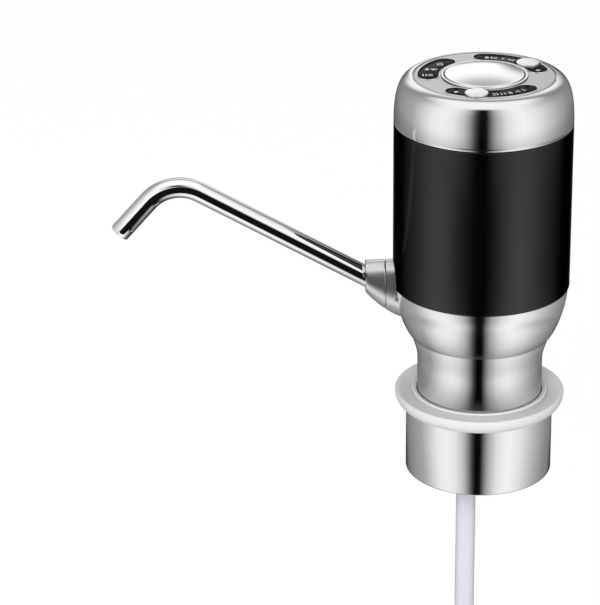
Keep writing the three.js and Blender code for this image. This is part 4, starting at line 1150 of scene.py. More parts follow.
class PUMP_OT_housing(bpy.types.Operator):
    """Make the silver housing: neck, bowl, the spout's boss and the posts inside"""

    bl_idname = "pump.housing"
    bl_label = "Lower housing"

    def execute(self, context):
        sizes = context.scene.pump_body
        foot = HOUSING_LOW.z
        spigot_top = HOUSING_HIGH.z
        spigot = sizes.sleeve_radius - sizes.sleeve_wall - GAP
        wall = sizes.shell_wall
        floor_top = foot + HOUSING_FLOOR
        outline = shell_curve(sizes)
        # Its finish has painted shade over the crease and a painted highlight under it
        housing = turned(
            "silver_housing",
            [
                (0.0, foot),
                (sizes.neck_radius, foot, SOFT),
                (sizes.neck_radius, sizes.flare_height - NECK_GUIDE),
                *outline[:-1],
                (sizes.bowl_radius, sizes.bowl_height, BOWL_EDGE),
                (spigot, sizes.bowl_height, SPIGOT_EDGE),
                (spigot, spigot_top, ROUND),
                (0.0, spigot_top),
            ],
            "housing_silver",
        )
        carve(housing, boss_loft("tool", NOSE + GAP, BOSS_ROOT), "UNION")
        room = turned(
            "tool",
            [
                (0.0, spigot_top + CUT),
                (spigot - wall, spigot_top + CUT),
                (spigot - wall, sizes.bowl_height),
                *reversed(shell_curve(sizes, wall)),
                (sizes.neck_radius - wall, floor_top, FLOOR_EDGE),
                (0.0, floor_top),
            ],
        )
        carve(housing, room)
        carve(housing, lay_along_spout(rod(SEAT_RADIUS, *SEAT_DEPTHS, segments=64)), "UNION")
        for degrees in POST_TURNS:
            spot = around(POST_CIRCLE, math.radians(degrees))
            carve(housing, rod(POST_RADIUS, foot + CUT, floor_top + POST_HEIGHT, spot, 40), "UNION")
            carve(housing, rod(SCREW_HOLE, foot - CUT, floor_top + POST_HOLE_HEIGHT, spot, 24))
        carve(housing, lay_along_spout(rod(BORE_RADIUS, 0.0, BORE_DEPTH, segments=64)))
        carve(housing, rod(HOSE_HOLE, foot - CUT, floor_top + CUT, HOSE_PLACE))
        housing.data.materials.append(finish("cast_silver"))
        for face in housing.data.polygons:
            x, y, z = face.center
            if x < 0 and math.hypot(x, y) > shell_radius(outline, z, spigot) + BOSS_PROUD:
                face.material_index = 1
        soften(housing, CREASE_DEGREES)
        settle(housing, BODY, "satin_silver", "lower_housing")
        return {"FINISHED"}


NOSE_EDGE = 0.15 * MM
SOCKET_SPIGOT = 5.9 * MM
SOCKET_BORE = 4.55 * MM
SOCKET_SPIGOT_DEPTH = 14.76 * MM
SPOUT_SEAL_DEPTHS = (15.07 * MM, 18.06 * MM)


class PUMP_OT_socket(bpy.types.Operator):
    """Make the socket that the spout turns in, and its seal"""

    bl_idname = "pump.socket"
    bl_label = "Spout socket"

    def execute(self, context):
        socket = boss_loft("spout_nose", 0.0, NOSE, steps=12, look="cast_silver", edge=NOSE_EDGE)
        spigot = lay_along_spout(rod(SOCKET_SPIGOT, NOSE / 2, SOCKET_SPIGOT_DEPTH, segments=64))
        carve(socket, spigot, "UNION")
        bore = rod(SOCKET_BORE, -NOSE, SOCKET_SPIGOT_DEPTH + CUT, segments=64)
        carve(socket, lay_along_spout(bore))
        soften(socket, CREASE_DEGREES)
        settle(socket, BODY, "satin_silver", "spout_socket")
        low, high = SPOUT_SEAL_DEPTHS
        seal = turned(
            "spout_ring",
            [
                (SOCKET_BORE, low, SOFT),
                (SOCKET_SPIGOT, low, SOFT),
                (SOCKET_SPIGOT, high, SOFT),
                (SOCKET_BORE, high, SOFT),
            ],
            "seal_white",
            segments=64,
        )
        settle(lay_along_spout(seal), BODY, "white_rubber", "spout_seal")
        return {"FINISHED"}


SPOUT_DEPTH = 20 * MM
SPOUT_SIDES = 96
BEND_STEPS = 40
RUN_STEPS = 10


def spout_axis(depth):
    """The place at a depth in the mouth, and the way inward"""
    sizes = bpy.context.scene.pump_spout
    inward = Vector((math.cos(sizes.slope), 0.0, -math.sin(sizes.slope)))
    return Vector((-sizes.mouth_reach, 0.0, sizes.mouth_height)) + inward * depth, inward


def spout_line(depth):
    """Points from a depth in the mouth to the spout's tip, each with the bend's outer side"""
    sizes = bpy.context.scene.pump_spout
    start, inward = spout_axis(depth)
    bend_start, _ = spout_axis(-sizes.run)
    side = Vector((math.sin(sizes.slope), 0.0, math.cos(sizes.slope)))
    line = [(start + (bend_start - start) * i / RUN_STEPS, side) for i in range(RUN_STEPS)]
    centre = bend_start - side * sizes.bend_radius
    bend = sizes.slope + sizes.fall
    for i in range(BEND_STEPS + 1):
        leaned = Matrix.Rotation(-bend * i / BEND_STEPS, 3, "Y") @ side
        line.append((centre + leaned * sizes.bend_radius, leaned))
    tip = Matrix.Rotation(-bend, 3, "Y") @ -inward
    last, side = line[-1]
    return line + [(last + tip * sizes.drop * share, side) for share in (0.33, 0.66, 1.0)]


class PUMP_OT_spout(bpy.types.Operator):
    """Make the polished spout tube"""

    bl_idname = "pump.spout"
    bl_label = "Spout tube"

    def execute(self, context):
        sizes = context.scene.pump_spout
        path = [point for point, _ in spout_line(SPOUT_DEPTH)]
        bore = sizes.tube_radius - sizes.tube_wall
        spout = tube("steel_spout", path, sizes.tube_radius, bore, "polished_tube", SPOUT_SIDES, FINE)
        settle(spout, "spout", "polished_steel", "spout_tube")
        return {"FINISHED"}


# Sleeve, cap and port
# The sleeve's notch and slot, the bezel, the port's shell and its tongue
NOTCH_GAP = 0.6 * MM
SLOT_GROWTH = 1.9 * MM
SLOT_DEPTHS = (30 * MM, 40 * MM)
PORT_HALF_WIDTH = 4.5 * MM
PORT_HALF_HEIGHT = 1.6 * MM
BEZEL_FOOT = 32.733 * MM
BEZEL_PROUD = 0.25 * MM
BEZEL_OUTER = 1.6 * MM
BEZEL_INNER = 0.8 * MM
PORT_FRONT = 34.9 * MM
PORT_BACK = 28.4 * MM
PORT_WALL = 0.5 * MM
PORT_EDGE = 0.15 * MM
TONGUE_HALF_WIDTH = 2.9 * MM
TONGUE_HALF_HEIGHT = 0.35 * MM
TONGUE_FOOT = 0.3 * MM
TONGUE_SHORT = 0.6 * MM


def port_ring(grow, depth, height, steps=16):
    """An upright slot's outline at the back, grown by a wall"""
    half = PORT_HALF_HEIGHT + grow
    reach = PORT_HALF_WIDTH - PORT_HALF_HEIGHT
    ring = []
    for side, first in ((1, -math.pi / 2), (-1, math.pi / 2)):
        for i in range(steps + 1):
            x, z = around(half, first + math.pi * i / steps, (side * reach, height))
            ring.append(Vector((x, depth, z)))
    return ring


class PUMP_OT_sleeve(bpy.types.Operator):
    """Make the black sleeve with its notch and its slot"""

    bl_idname = "pump.sleeve"
    bl_label = "Sleeve"

    def execute(self, context):
        sizes = context.scene.pump_body
        outer = sizes.sleeve_radius
        inner = outer - sizes.sleeve_wall
        sleeve = turned(
            "black_sleeve",
            [
                (inner, sizes.sleeve_low, HAIR),
                (outer, sizes.sleeve_low, SOFT),
                (outer, sizes.sleeve_top, SOFT),
                (inner, sizes.sleeve_top, HAIR),
            ],
            "sleeve_black",
        )
        carve(sleeve, boss_loft("tool", 0.0, BOSS_ROOT, NOTCH_GAP))
        height = sizes.sleeve_low + PORT_RISE
        carve(sleeve, skin("tool", [port_ring(SLOT_GROWTH, y, height) for y in SLOT_DEPTHS]))
        soften(sleeve, CREASE_DEGREES)
        settle(sleeve, BODY, "satin_black", "sleeve")
        return {"FINISHED"}


class PUMP_OT_port(bpy.types.Operator):
    """Make the charging port and its bezel"""

    bl_idname = "pump.port"
    bl_label = "Charging port"

    def execute(self, context):
        sizes = context.scene.pump_body
        height = sizes.sleeve_low + PORT_RISE
        face = sizes.sleeve_radius + BEZEL_PROUD
        levels = [
            (BEZEL_OUTER, BEZEL_FOOT),
            (BEZEL_OUTER, face - SOFT),
            (BEZEL_OUTER - BEVEL * SOFT, face - BEVEL * SOFT),
            (BEZEL_OUTER - SOFT, face),
            (BEZEL_INNER + SOFT, face),
            (BEZEL_INNER, face - SOFT),
            (BEZEL_INNER, BEZEL_FOOT),
        ]
        bezel = skin("port_frame", [port_ring(g, y, height) for g, y in levels], "bezel_black", closed=True)
        settle(bezel, BODY, "satin_black", "port_bezel")
        cup = [
            (PORT_WALL, PORT_BACK),
            (PORT_WALL, PORT_FRONT - PORT_EDGE),
            (PORT_WALL - HAIR, PORT_FRONT),
            (HAIR, PORT_FRONT),
            (0.0, PORT_FRONT - PORT_EDGE),
            (0.0, PORT_BACK + PORT_WALL),
        ]
        port = skin("port_shell", [port_ring(g, y, height) for g, y in cup], "port_steel")
        depths = (PORT_BACK + TONGUE_FOOT, PORT_FRONT - TONGUE_SHORT)
        carve(port, skin("tool", [tongue_ring(y, height) for y in depths]), "UNION")
        soften(port)
        settle(port, BODY, "steel", "charging_port")
        return {"FINISHED"}


def tongue_ring(depth, height):
    half, thin = TONGUE_HALF_WIDTH, TONGUE_HALF_HEIGHT
    corners = ((-half, -thin), (half, -thin), (half, thin), (-half, thin))
    return [Vector((x, depth, height + z)) for x, z in corners]


# Cap: its wall and spigot, how its shoulder is pulled, and the ledge under the plate
CAP_WALL = 1.8 * MM
CAP_SPIGOT = 6 * MM
SHOULDER_FOOT = 0.3 * MM
SHOULDER_PULL = 17 * MM
SHOULDER_RIM_PULL = 3.8 * MM
SHOULDER_RIM_DROP = 0.6 * MM
LEDGE_WIDTH = 2.1 * MM
LEDGE_THICKNESS = 1.5 * MM
RIM_EDGE = 0.25 * MM


class PUMP_OT_cap(bpy.types.Operator):
    """Make the silver cap with its round shoulder"""

    bl_idname = "pump.cap"
    bl_label = "Top cap"

    def execute(self, context):
        body = context.scene.pump_body
        sizes = context.scene.pump_top
        low = sizes.cap_low
        seat = sizes.plate_radius + GAP
        outer = body.sleeve_radius
        spigot = outer - body.sleeve_wall - GAP
        ledge = sizes.plate_low - GAP

        def shoulder(inset, steps):
            """The shoulder from the cap's foot up to its rim"""
            foot = low + SHOULDER_FOOT
            top = sizes.plate_top
            curve = [
                (outer - inset, foot),
                (outer - inset, foot + SHOULDER_PULL),
                (seat + SHOULDER_RIM_PULL - inset, top - SHOULDER_RIM_DROP - inset),
                (seat - inset, top - inset),
            ]
            return [tuple(point) for point in bezier(curve, steps)]

        outside = shoulder(0.0, 40)
        inside = [point for point in shoulder(CAP_WALL, 24) if point[1] < ledge - LEDGE_THICKNESS]
        rim = outside.pop()
        cap = turned(
            "silver_cap",
            [
                (spigot - CAP_WALL, low - CAP_SPIGOT, SOFT),
                (spigot, low - CAP_SPIGOT, SOFT),
                (spigot, low),
                (outer - SOFT, low),
                (outer - BEVEL * SOFT, low + BEVEL * SOFT),
                *outside,
                (rim[0], rim[1], RIM_EDGE),
                (seat, ledge),
                (seat - LEDGE_WIDTH, ledge, FINE),
                (seat - LEDGE_WIDTH, ledge - LEDGE_THICKNESS),
                *reversed(inside),
            ],
            "satin_silver",
        )
        settle(cap, BODY, "satin_silver", "top_cap")
        return {"FINISHED"}


# Control plate, windows and their signs

WINDOWS = {
    "left": (120.5, 190.0, None),
    "rear": (6.0, 96.0, "rear_button_turn"),
    "front": (225.5, 322.5, "front_button_turn"),
}
WINDOW_STEPS = 90
WINDOW_EASE = 0.8

# The plate's outer edge, inwards and down, in shares of its width
PLATE_EDGE = 0.25 * MM
PLATE_BEVEL = ((0.0, 1.0), (0.3, 0.85), (2.4, 0.3), (2.8, 0.0))
PLATE_HOLE = 17.8 * MM

# A rim's section, across and up, in shares of its width and height
RIM_SECTION = ((0.0, 0.0), (0.0, 0.5), (0.15, 0.85), (0.4, 1.0), (0.7, 1.0), (0.9, 0.7), (1.0, 0.0))

# Panes of the windows, with a well and a hole for a button's stem
PANE_DEPTH = 1.1 * MM
PANE_SUNK = 0.2 * MM
PANE_EDGE = 0.15 * MM
WELL_FLOOR = 145.5 * MM
WELL_TOP = 150 * MM
STEM_HOLE = 3.5 * MM
SIGN_HEIGHT = 0.04 * MM


def reach_of_disc(turn, centre_turn, distance, radius):
    """Where a ray from the axis enters and leaves a disc, or nothing"""
    off = turn - centre_turn
    rest = radius * radius - (distance * math.sin(off)) ** 2
    if rest < 0:
        return None
    middle, half = distance * math.cos(off), math.sqrt(rest)
    return middle - half, middle + half


def window_outline(name, grow, height, with_well=True):
    """A window's outline: a band with round ends, and the round well of its button"""
    sizes = bpy.context.scene.pump_top
    first, last, button = WINDOWS[name]
    middle = sizes.band_inner + sizes.band_width / 2
    half = sizes.band_width / 2 + grow
    end = sizes.band_width / 2 / middle
    first_centre, last_centre = math.radians(first) + end, math.radians(last) - end
    spread = math.asin(half / middle)
    low, high = first_centre - spread, last_centre + spread
    outer, inner = [], []
    for i in range(WINDOW_STEPS + 1):
        share = i / WINDOW_STEPS
        eased = share - WINDOW_EASE * math.sin(2 * math.pi * share) / (2 * math.pi)
        turn = low + (high - low) * eased
        turn = min(max(turn, low + 1e-9), high - 1e-9)
        if turn < first_centre:
            reach = reach_of_disc(turn, first_centre, middle, half)
        elif turn > last_centre:
            reach = reach_of_disc(turn, last_centre, middle, half)
        else:
            reach = (middle - half, middle + half)
        reach = reach or (middle, middle)
        if button and with_well:
            place = getattr(sizes, button)
            well = reach_of_disc(turn, place, sizes.small_circle, sizes.small_radius + BUTTON_GAP + grow)
            if well:
                reach = (min(reach[0], well[0]), max(reach[1], well[1]))
        outer.append(Vector((*around(reach[1], turn), height)))
        inner.append(Vector((*around(reach[0], turn), height)))
    return outer + list(reversed(inner))[1:-1]


class PUMP_OT_plate(bpy.types.Operator):
    """Make the brushed control plate and the bright rims of its windows"""

    bl_idname = "pump.plate"
    bl_label = "Control plate"

    def execute(self, context):
        sizes = context.scene.pump_top
        low, top = sizes.plate_low, sizes.plate_top
        edge = PLATE_EDGE
        outer = [ring_at(sizes.plate_radius, low)]
        outer += [ring_at(sizes.plate_radius - a * edge, top - b * edge) for a, b in PLATE_BEVEL]
        hole = [(PLATE_HOLE, low), (PLATE_HOLE, top - edge), (PLATE_HOLE + edge, top)]
        holes = [[ring_at(radius, height) for radius, height in hole]]
        holes += [[window_outline(name, GAP, height) for height in (low, top)] for name in WINDOWS]
        plate = holed_plate("brushed_plate", outer, holes, "brushed_plate")
        settle(plate, BODY, "brushed_silver", "control_plate")
        width, rise = sizes.rim_width, sizes.rim_height
        for name in WINDOWS:
            rings = [window_outline(name, GAP + a * width, top + b * rise) for a, b in RIM_SECTION]
            rim = skin(f"{name}_rim", rings, "bright_rim", closed=True)
            settle(rim, BODY, "polished_steel")
        return {"FINISHED"}


def sign_frame(radius, degrees, level):
    """A place on the plate with its own axes: level ones, or along the band and outwards"""
    t = math.radians(degrees)
    origin = Vector((*around(radius, t), 0.0))
    if level:
        return origin, Vector((1.0, 0.0, 0.0)), Vector((0.0, 1.0, 0.0))
    return origin, Vector((math.sin(t), -math.cos(t), 0.0)), Vector((math.cos(t), math.sin(t), 0.0))


def add_sign(bm, outline, place, low, high):
    """A thin flat sign from its outline in millimetres"""
    origin, along, outward = place
    rings = [
        [origin + along * (x * MM) + outward * (y * MM) + UP * height for x, y in outline]
        for height in (low, high)
    ]
    add_ends(bm, add_walls(bm, rings))


def bar(width, height, x=0.0, y=0.0):
    """A straight stroke of a sign"""
    half, tall = width / 2, height / 2
    return [(x - half, y - tall), (x + half, y - tall), (x + half, y + tall), (x - half, y + tall)]


DROP_STEPS = 20
DROP_TAPER_START = 0.3


def drop_shape(size, x=0.0, y=0.0):
    """A round drop with a point on top"""
    shape = []
    for i in range(DROP_STEPS):
        t = 2 * math.pi * i / DROP_STEPS
        above = max(math.sin(t) - DROP_TAPER_START, 0.0)
        across = size * math.cos(t) * (1 - 0.55 * above)
        shape.append((x + across, y + size * math.sin(t) * (1 + 0.9 * above)))
    return shape


def cup_shape(size, x=0.0, y=0.0):
    """A cup that widens upwards"""
    foot, mouth, rise = size * 0.7, size, size * 0.8
    return [(x - foot, y - size), (x + foot, y - size), (x + mouth, y + rise), (x - mouth, y + rise)]


SIGNS = {
    "left": [
        (
            175.0,
            [bar(0.6, 2.4, -2.0), bar(0.6, 2.4, -0.7), bar(2.0, 0.6, 1.1, 0.9), bar(2.0, 0.6, 1.1, -0.9)],
        ),
        (157.0, [drop_shape(0.95, -1.7), cup_shape(1.0, 0.9), bar(0.5, 1.2, 2.3)]),
        (
            138.0,
            [bar(2.6, 0.6, 0.0, 1.0), bar(0.6, 2.2, -1.0), bar(0.6, 2.2, 1.0), bar(2.6, 0.6, 0.0, -1.1)],
        ),
    ],
    "rear": [
        (83.0, [bar(1.5, 2.2), bar(0.5, 2.2, 1.8)]),
        (74.5, [bar(0.5, 2.2, -1.2), bar(1.4, 0.5, 0.2, 0.85), bar(1.4, 0.5, 0.2, -0.85)]),
        (66.0, [bar(1.4, 0.55, 0.0, 0.8), bar(0.5, 2.2)]),
        (57.5, [bar(0.5, 2.2, -0.9), bar(0.5, 2.2, 0.3), bar(0.5, 2.2, 1.4)]),
        (14.5, [drop_shape(0.8)]),
    ],
    "front": [
        (236.0, [drop_shape(0.85)]),
        (276.0, [bar(0.5, 2.2, -1.0), bar(1.5, 0.5, 0.3, 0.85), bar(1.5, 0.5, 0.3, -0.85)]),
        (284.0, [bar(0.5, 2.2, -0.9), bar(0.5, 2.2, 0.6)]),
        (292.0, [bar(1.5, 0.5, 0.0, 0.85), bar(1.5, 0.5), bar(1.5, 0.5, 0.0, -0.85)]),
        (300.0, [bar(0.5, 2.2, -0.8), bar(1.1, 0.5, 0.4, 0.2)]),
        (308.0, [bar(1.6, 0.5, 0.0, 0.85), bar(0.5, 2.2)]),
    ],
}


class PUMP_OT_windows(bpy.types.Operator):
    """Make the three glossy windows and the plain signs on them"""

    bl_idname = "pump.windows"
    bl_label = "Windows"

    def execute(self, context):
        sizes = context.scene.pump_top
        low, top = sizes.plate_low - PANE_DEPTH, sizes.plate_top - PANE_SUNK
        edge, bevel = PANE_EDGE, BEVEL * PANE_EDGE
        levels = [(0.0, low), (0.0, top - edge), (-bevel, top - bevel), (-edge, top)]
        middle = sizes.band_inner + sizes.band_width / 2
        for name, (_, _, button) in WINDOWS.items():
            rings = [window_outline(name, grow, height, False) for grow, height in levels]
            pane = skin(f"{name}_pane", rings, "window_gloss")
            if button:
                spot = around(sizes.small_circle, getattr(sizes, button))
                carve(pane, rod(sizes.small_radius + BUTTON_GAP, WELL_FLOOR, WELL_TOP, spot, 64))
                carve(pane, rod(STEM_HOLE, low - CUT, WELL_TOP, spot, 48))
                soften(pane)
            settle(pane, BODY, "gloss_black", f"{name}_window")
            bm = bmesh.new()
            for degrees, outlines in SIGNS[name]:
                place = sign_frame(middle, degrees, name == "left")
                for outline in outlines:
                    add_sign(bm, outline, place, top, top + SIGN_HEIGHT)
            settle(new_piece(f"{name}_signs", bm, "mark_white"), BODY, "white_plastic")
        return {"FINISHED"}


# Buttons: both kinds, then the ring, the start button and the small ones
BUTTON_PROUD = 0.9 * MM
STEM_RADIUS = 3.1 * MM
RING_WALL = 0.6 * MM
RING_BRIM = 1.1 * MM
RING_BRIM_TOP = 0.85 * MM
RING_PROUD = 0.6 * MM
RING_EDGES = (0.06 * MM, 0.12 * MM, 0.15 * MM)
START_SHELL = 1.4 * MM
START_LIP = 0.8 * MM
START_LIP_HEIGHT = 0.9 * MM
START_EDGE = 0.5 * MM
SMALL_LIP = 3.5 * MM
SMALL_LIP_DROP = 1.4 * MM
SMALL_LIP_HEIGHT = 0.4 * MM
SMALL_FOOT = 0.8 * MM
SMALL_EDGE = 0.3 * MM


class PUMP_OT_buttons(bpy.types.Operator):
    """Make the start button, its ring and the two small buttons"""

    bl_idname = "pump.buttons"
    bl_label = "Buttons"

    def execute(self, context):
        sizes = context.scene.pump_top
        self.make_ring(sizes)
        self.make_start(sizes)
        for side in ("rear", "front"):
            self.make_small(sizes, side)
        return {"FINISHED"}

    def make_ring(self, sizes):
        inner = sizes.start_radius + BUTTON_GAP
        low, top = sizes.plate_low, sizes.plate_top
        brim_edge, bevel_edge, inner_edge = RING_EDGES
        ring = turned(
            "start_ring",
            [
                (inner, low, HAIR),
                (inner + RING_WALL, low, HAIR),
                (inner + RING_WALL, top + GAP),
                (inner + RING_BRIM, top + GAP, brim_edge),
                (inner + RING_BRIM_TOP, top + RING_PROUD, bevel_edge),
                (inner, top + RING_PROUD, inner_edge),
            ],
            "bright_rim",
        )
        settle(ring, BODY, "polished_steel", "start_button_ring")

    def make_start(self, sizes):
        radius = sizes.start_radius
        rim = sizes.plate_top + BUTTON_PROUD
        lip_top = sizes.plate_low - GAP
        lip_low = lip_top - START_LIP_HEIGHT
        stem_low = PLUNGER_TOP + GAP
        start = turned(
            "start_cap",
            [
                (0.0, stem_low),
                (STEM_RADIUS, stem_low, FINE),
                (STEM_RADIUS, rim - START_SHELL),
                (radius - START_SHELL, rim - START_SHELL),
                (radius - START_SHELL, lip_low),
                (radius + START_LIP, lip_low, FINE),
                (radius + START_LIP, lip_top, HAIR),
                (radius, lip_top),
                *crown_line(radius, rim, sizes.start_crown, START_EDGE, 24),
            ],
            "button_plating",
            segments=128,
        )
        settle(start, "start_button", "button_silver", "start_button")

    def make_small(self, sizes, side):
        spot = around(sizes.small_circle, getattr(sizes, f"{side}_button_turn"))
        rim = sizes.plate_top + BUTTON_PROUD
        lip_top = sizes.plate_low - SMALL_LIP_DROP
        cap_low = sizes.plate_low + SMALL_FOOT
        stem_low = PLUNGER_TOP + GAP
        button = turned(
            f"{side}_cap",
            [
                (0.0, stem_low),
                (STEM_RADIUS, stem_low),
                (SMALL_LIP, lip_top - SMALL_LIP_HEIGHT),
                (SMALL_LIP, lip_top),
                (STEM_RADIUS, lip_top),
                (STEM_RADIUS, cap_low),
                (sizes.small_radius, cap_low, HAIR),
                *crown_line(sizes.small_radius, rim, sizes.small_crown, SMALL_EDGE, 12),
            ],
            "small_plating",
            spot,
            72,
        )
        settle(button, f"{side}_button", "button_silver", f"{side}_button")


CROWN_EDGE_STEPS = 6


def crown_line(radius, rim, crown, edge, steps):
    """From a button's side over its round edge to the crown's middle"""
    points = []
    for i in range(CROWN_EDGE_STEPS):
        t = math.pi / 2 * i / CROWN_EDGE_STEPS
        points.append((radius - edge * (1 - math.cos(t)), rim - edge * (1 - math.sin(t))))
    for i in range(steps + 1):
        share = i / steps
        points.append(((radius - edge) * (1 - share), rim + crown * (1 - (1 - share) ** 2)))
    return points


# Inside: soft pieces are made anew, and the moulded and metal ones get their finishes

PLASTIC_PARTS = ["inner_frame", "pump_case", "pump_cover"]
PLASTIC_PARTS += [f"{key}_switch" for key in ("start", "rear", "front")]
WHITE_PARTS = ["inlet_fitting", "spout_connector", "wobble_plate", "valve_plate"]
WHITE_PARTS += [f"{key}_plunger" for key in ("start", "rear", "front")]
SCREWS = [f"{place}_screw_{k}" for place in ("neck", "board") for k in (1, 2, 3)]
SCREWS += ["pump_screw_1", "pump_screw_2"]
INNER_FINISHES = {
    "frame_grey": PLASTIC_PARTS,
    "fitting_white": WHITE_PARTS,
    "cell_wrap": ["battery_cell"],
    "motor_steel": ["pump_motor"],
    "plain_steel": ["motor_shaft", *SCREWS],
    "turned_brass": ["crank"],
    "board_lacquer": ["circuit_board"],
}


def link_path(start, first, end, last, straight, pull):
    """A path that leaves its start straight, bends once and reaches its end straight"""
    a, b = start + first * straight, end - last * straight
    return [start, *bezier([a, a + first * pull, b - last * pull, b], 16), end]


def smooth_path(points, steps=10):
    """A smooth line through three points"""
    a, b, c = [Vector(point) for point in points]
    along = (c - a) * 0.5
    first = bezier([a, a + (b - a) * 0.35, b - along * 0.33, b], steps)
    return first + bezier([b, b + along * 0.33, c - (c - b) * 0.35, c], steps)[1:]


# Inner hoses: where they end, and how far their curves are pulled
INNER_HOSE_RADIUS = 4.3 * MM
INNER_HOSE_BORE = 3.05 * MM
INNER_HOSE_STRAIGHT = 6 * MM
SUCTION_END = (0.65 * MM, 0.0, 38.6 * MM)
SUCTION_PULL = 6 * MM
DELIVERY_DEPTH = 24.162 * MM
DELIVERY_END = (-3.8 * MM, 0.0, 43.4 * MM)
DELIVERY_PULL = 3 * MM
LEAD_RADIUS = 0.8 * MM
LEAD_SIDES = 20

# Each lead's two ends and the point between them, in millimetres
LEADS = {
    "motor_lead": [(10, 6, 102.8), (13, 8, 114.8), (10, 6, 137.4)],
    "battery_lead": [(-15, 0, 129.3), (-17, 0, 133.35), (-15, 0, 137.4)],
    "port_lead": [(0, 27.3, 84), (3, 24, 96), (0, 21, 137.4)],
}

# Diaphragm: a disc with three hollow cups
PUMP_AXIS = (10 * MM, 0.0)
DISC_RADIUS = 13.5 * MM
DISC_THICKNESS = 1.4 * MM
CUP_TURNS = (0, 120, 240)
CUP_CIRCLE = 6.6 * MM
CUP_RADIUS = 3.8 * MM
CUP_BORE = 2.9 * MM
CUP_FOOT = 0.3 * MM
CUP_FLOOR = 0.9 * MM
CUP_EDGE = 0.6 * MM


class PUMP_OT_inside(bpy.types.Operator):
    """Make the inner hoses, the leads and the diaphragm, and finish the parts inside"""

    bl_idname = "pump.inside"
    bl_label = "Inner parts"

    def execute(self, context):
        for look, names in INNER_FINISHES.items():
            for name in names:
                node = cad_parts[name]
                node.data.materials.clear()
                node.data.materials.append(finish(look))
        self.make_hoses()
        for name, points in LEADS.items():
            path = smooth_path([Vector(point) * MM for point in points])
            lead = tube(f"{name}_wire", path, LEAD_RADIUS, 0.0, "lead_red", LEAD_SIDES, FINE)
            settle(lead, BODY, "red_lead", name)
        self.make_diaphragm()
        return {"FINISHED"}

    def make_hoses(self):
        low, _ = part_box("suction_hose")
        start = Vector((*HOSE_PLACE, low.z))
        path = link_path(start, UP, Vector(SUCTION_END), UP, INNER_HOSE_STRAIGHT, SUCTION_PULL)
        hose = tube("suction_line", path, INNER_HOSE_RADIUS, INNER_HOSE_BORE, "hose_milky", HOSE_SIDES)
        settle(hose, BODY, "clear_hose", "suction_hose")
        start, inward = spout_axis(DELIVERY_DEPTH)
        ahead = Vector((1, 0, 0))
        path = link_path(start, inward, Vector(DELIVERY_END), ahead, INNER_HOSE_STRAIGHT, DELIVERY_PULL)
        hose = tube("delivery_line", path, INNER_HOSE_RADIUS, INNER_HOSE_BORE, "hose_milky", HOSE_SIDES)
        settle(hose, BODY, "clear_hose", "delivery_hose")

    def make_diaphragm(self):
        low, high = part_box("diaphragm")
        top = low.z + DISC_THICKNESS
        section = [(0.0, low.z), (DISC_RADIUS, low.z, FINE), (DISC_RADIUS, top, FINE), (0.0, top)]
        disc = turned("pump_diaphragm", section, "diaphragm_rubber", PUMP_AXIS, 96)
        foot = top - CUP_FOOT
        section = [(0.0, foot), (CUP_RADIUS, foot), (CUP_RADIUS, high.z, CUP_EDGE), (0.0, high.z)]
        for degrees in CUP_TURNS:
            spot = around(CUP_CIRCLE, math.radians(degrees), PUMP_AXIS)
            carve(disc, turned("tool", section, None, spot, 48), "UNION")
            carve(disc, rod(CUP_BORE, low.z - CUT, high.z - CUP_FLOOR, spot, 40))
        soften(disc)
        settle(disc, BODY, "grey_plastic", "diaphragm")


# Stage: floor, light wall, sky and lamp

WALL_TURN = -5.0
CARD_SEGMENTS = 96

# Light wall: its ends, the heights between which its pattern changes, and how it fades
WALL_LIFT = 5 * MM
WALL_FOOT_RADIUS = 20 * MM
WALL_TOP = 400 * MM
WALL_PINCH = 1.16
WALL_PINCH_HEIGHTS = (-200 * MM, -150 * MM)
SLEEVE_PATTERN_FOOT = (-88 * MM, -70 * MM)
SLEEVE_PATTERN_TOP = (-2 * MM, 2 * MM)
WALL_SHADE = 0.36
WALL_SHADE_HEIGHT = 85 * MM
WALL_FADE_HEIGHTS = (180 * MM, 360 * MM)
WALL_BEHIND = (0.3, 0.7)
WALL_DROP_HEADINGS = (0.1, 0.26)
WALL_DROPS = (150 * MM, 30 * MM)
WALL_FOOT_FADE = (30 * MM, 220 * MM)
WALL_FOOT_SHARE = 0.08
WALL_FOOT_LEVEL = 0.07

# Shelf over the collar
SHELF_RISE = 0.4 * MM
SHELF_GAP = 0.1 * MM
SHELF_RADIUS = 82 * MM
SHELF_FADE_START = 64 * MM
SHELF_PINCH = 1.25
SHELF_GLOW = 0.09
SHELF_GLOW_REACH = (27 * MM, 39 * MM)

# Ribbon beside the spout: half widths at its start and what they gain, in millimetres
RIBBON_AHEAD = 8 * MM
RIBBON_START = 1 * MM
RIBBON_LOW = (3.8, 1.4)
RIBBON_HIGH = (4.2, -1.1)
RIBBON_TAIL = 0.4
RIBBON_LEVEL = 0.006

# Floor, sky and lamp
FLOOR_LIGHT = 1.16
FLOOR_LIGHT_SHARE = 0.75
SKY_BESIDE = (0.25, 0.6)
SKY_LOW_DOWN = (0.55, 0.95)
SKY_LOW_AHEAD = (44 / 180, 56 / 180)
SKY_LEVELS = (1.4, 0.6)
LAMP_SIZE = 0.7
LAMP_PLACE = (-0.25, -1.2, 0.72)
LAMP_AIM = (0.0, 0.0, 0.05)

# How bright the shelf carries the wall's pattern, by distance from the axis in millimetres
SHELF_STOPS = [(27, 0.45), (33, 0.58), (42, 0.76), (48, 0.91), (60, 1.0)]
SHELF_STOP_START = 20
SHELF_STOP_REACH = 80

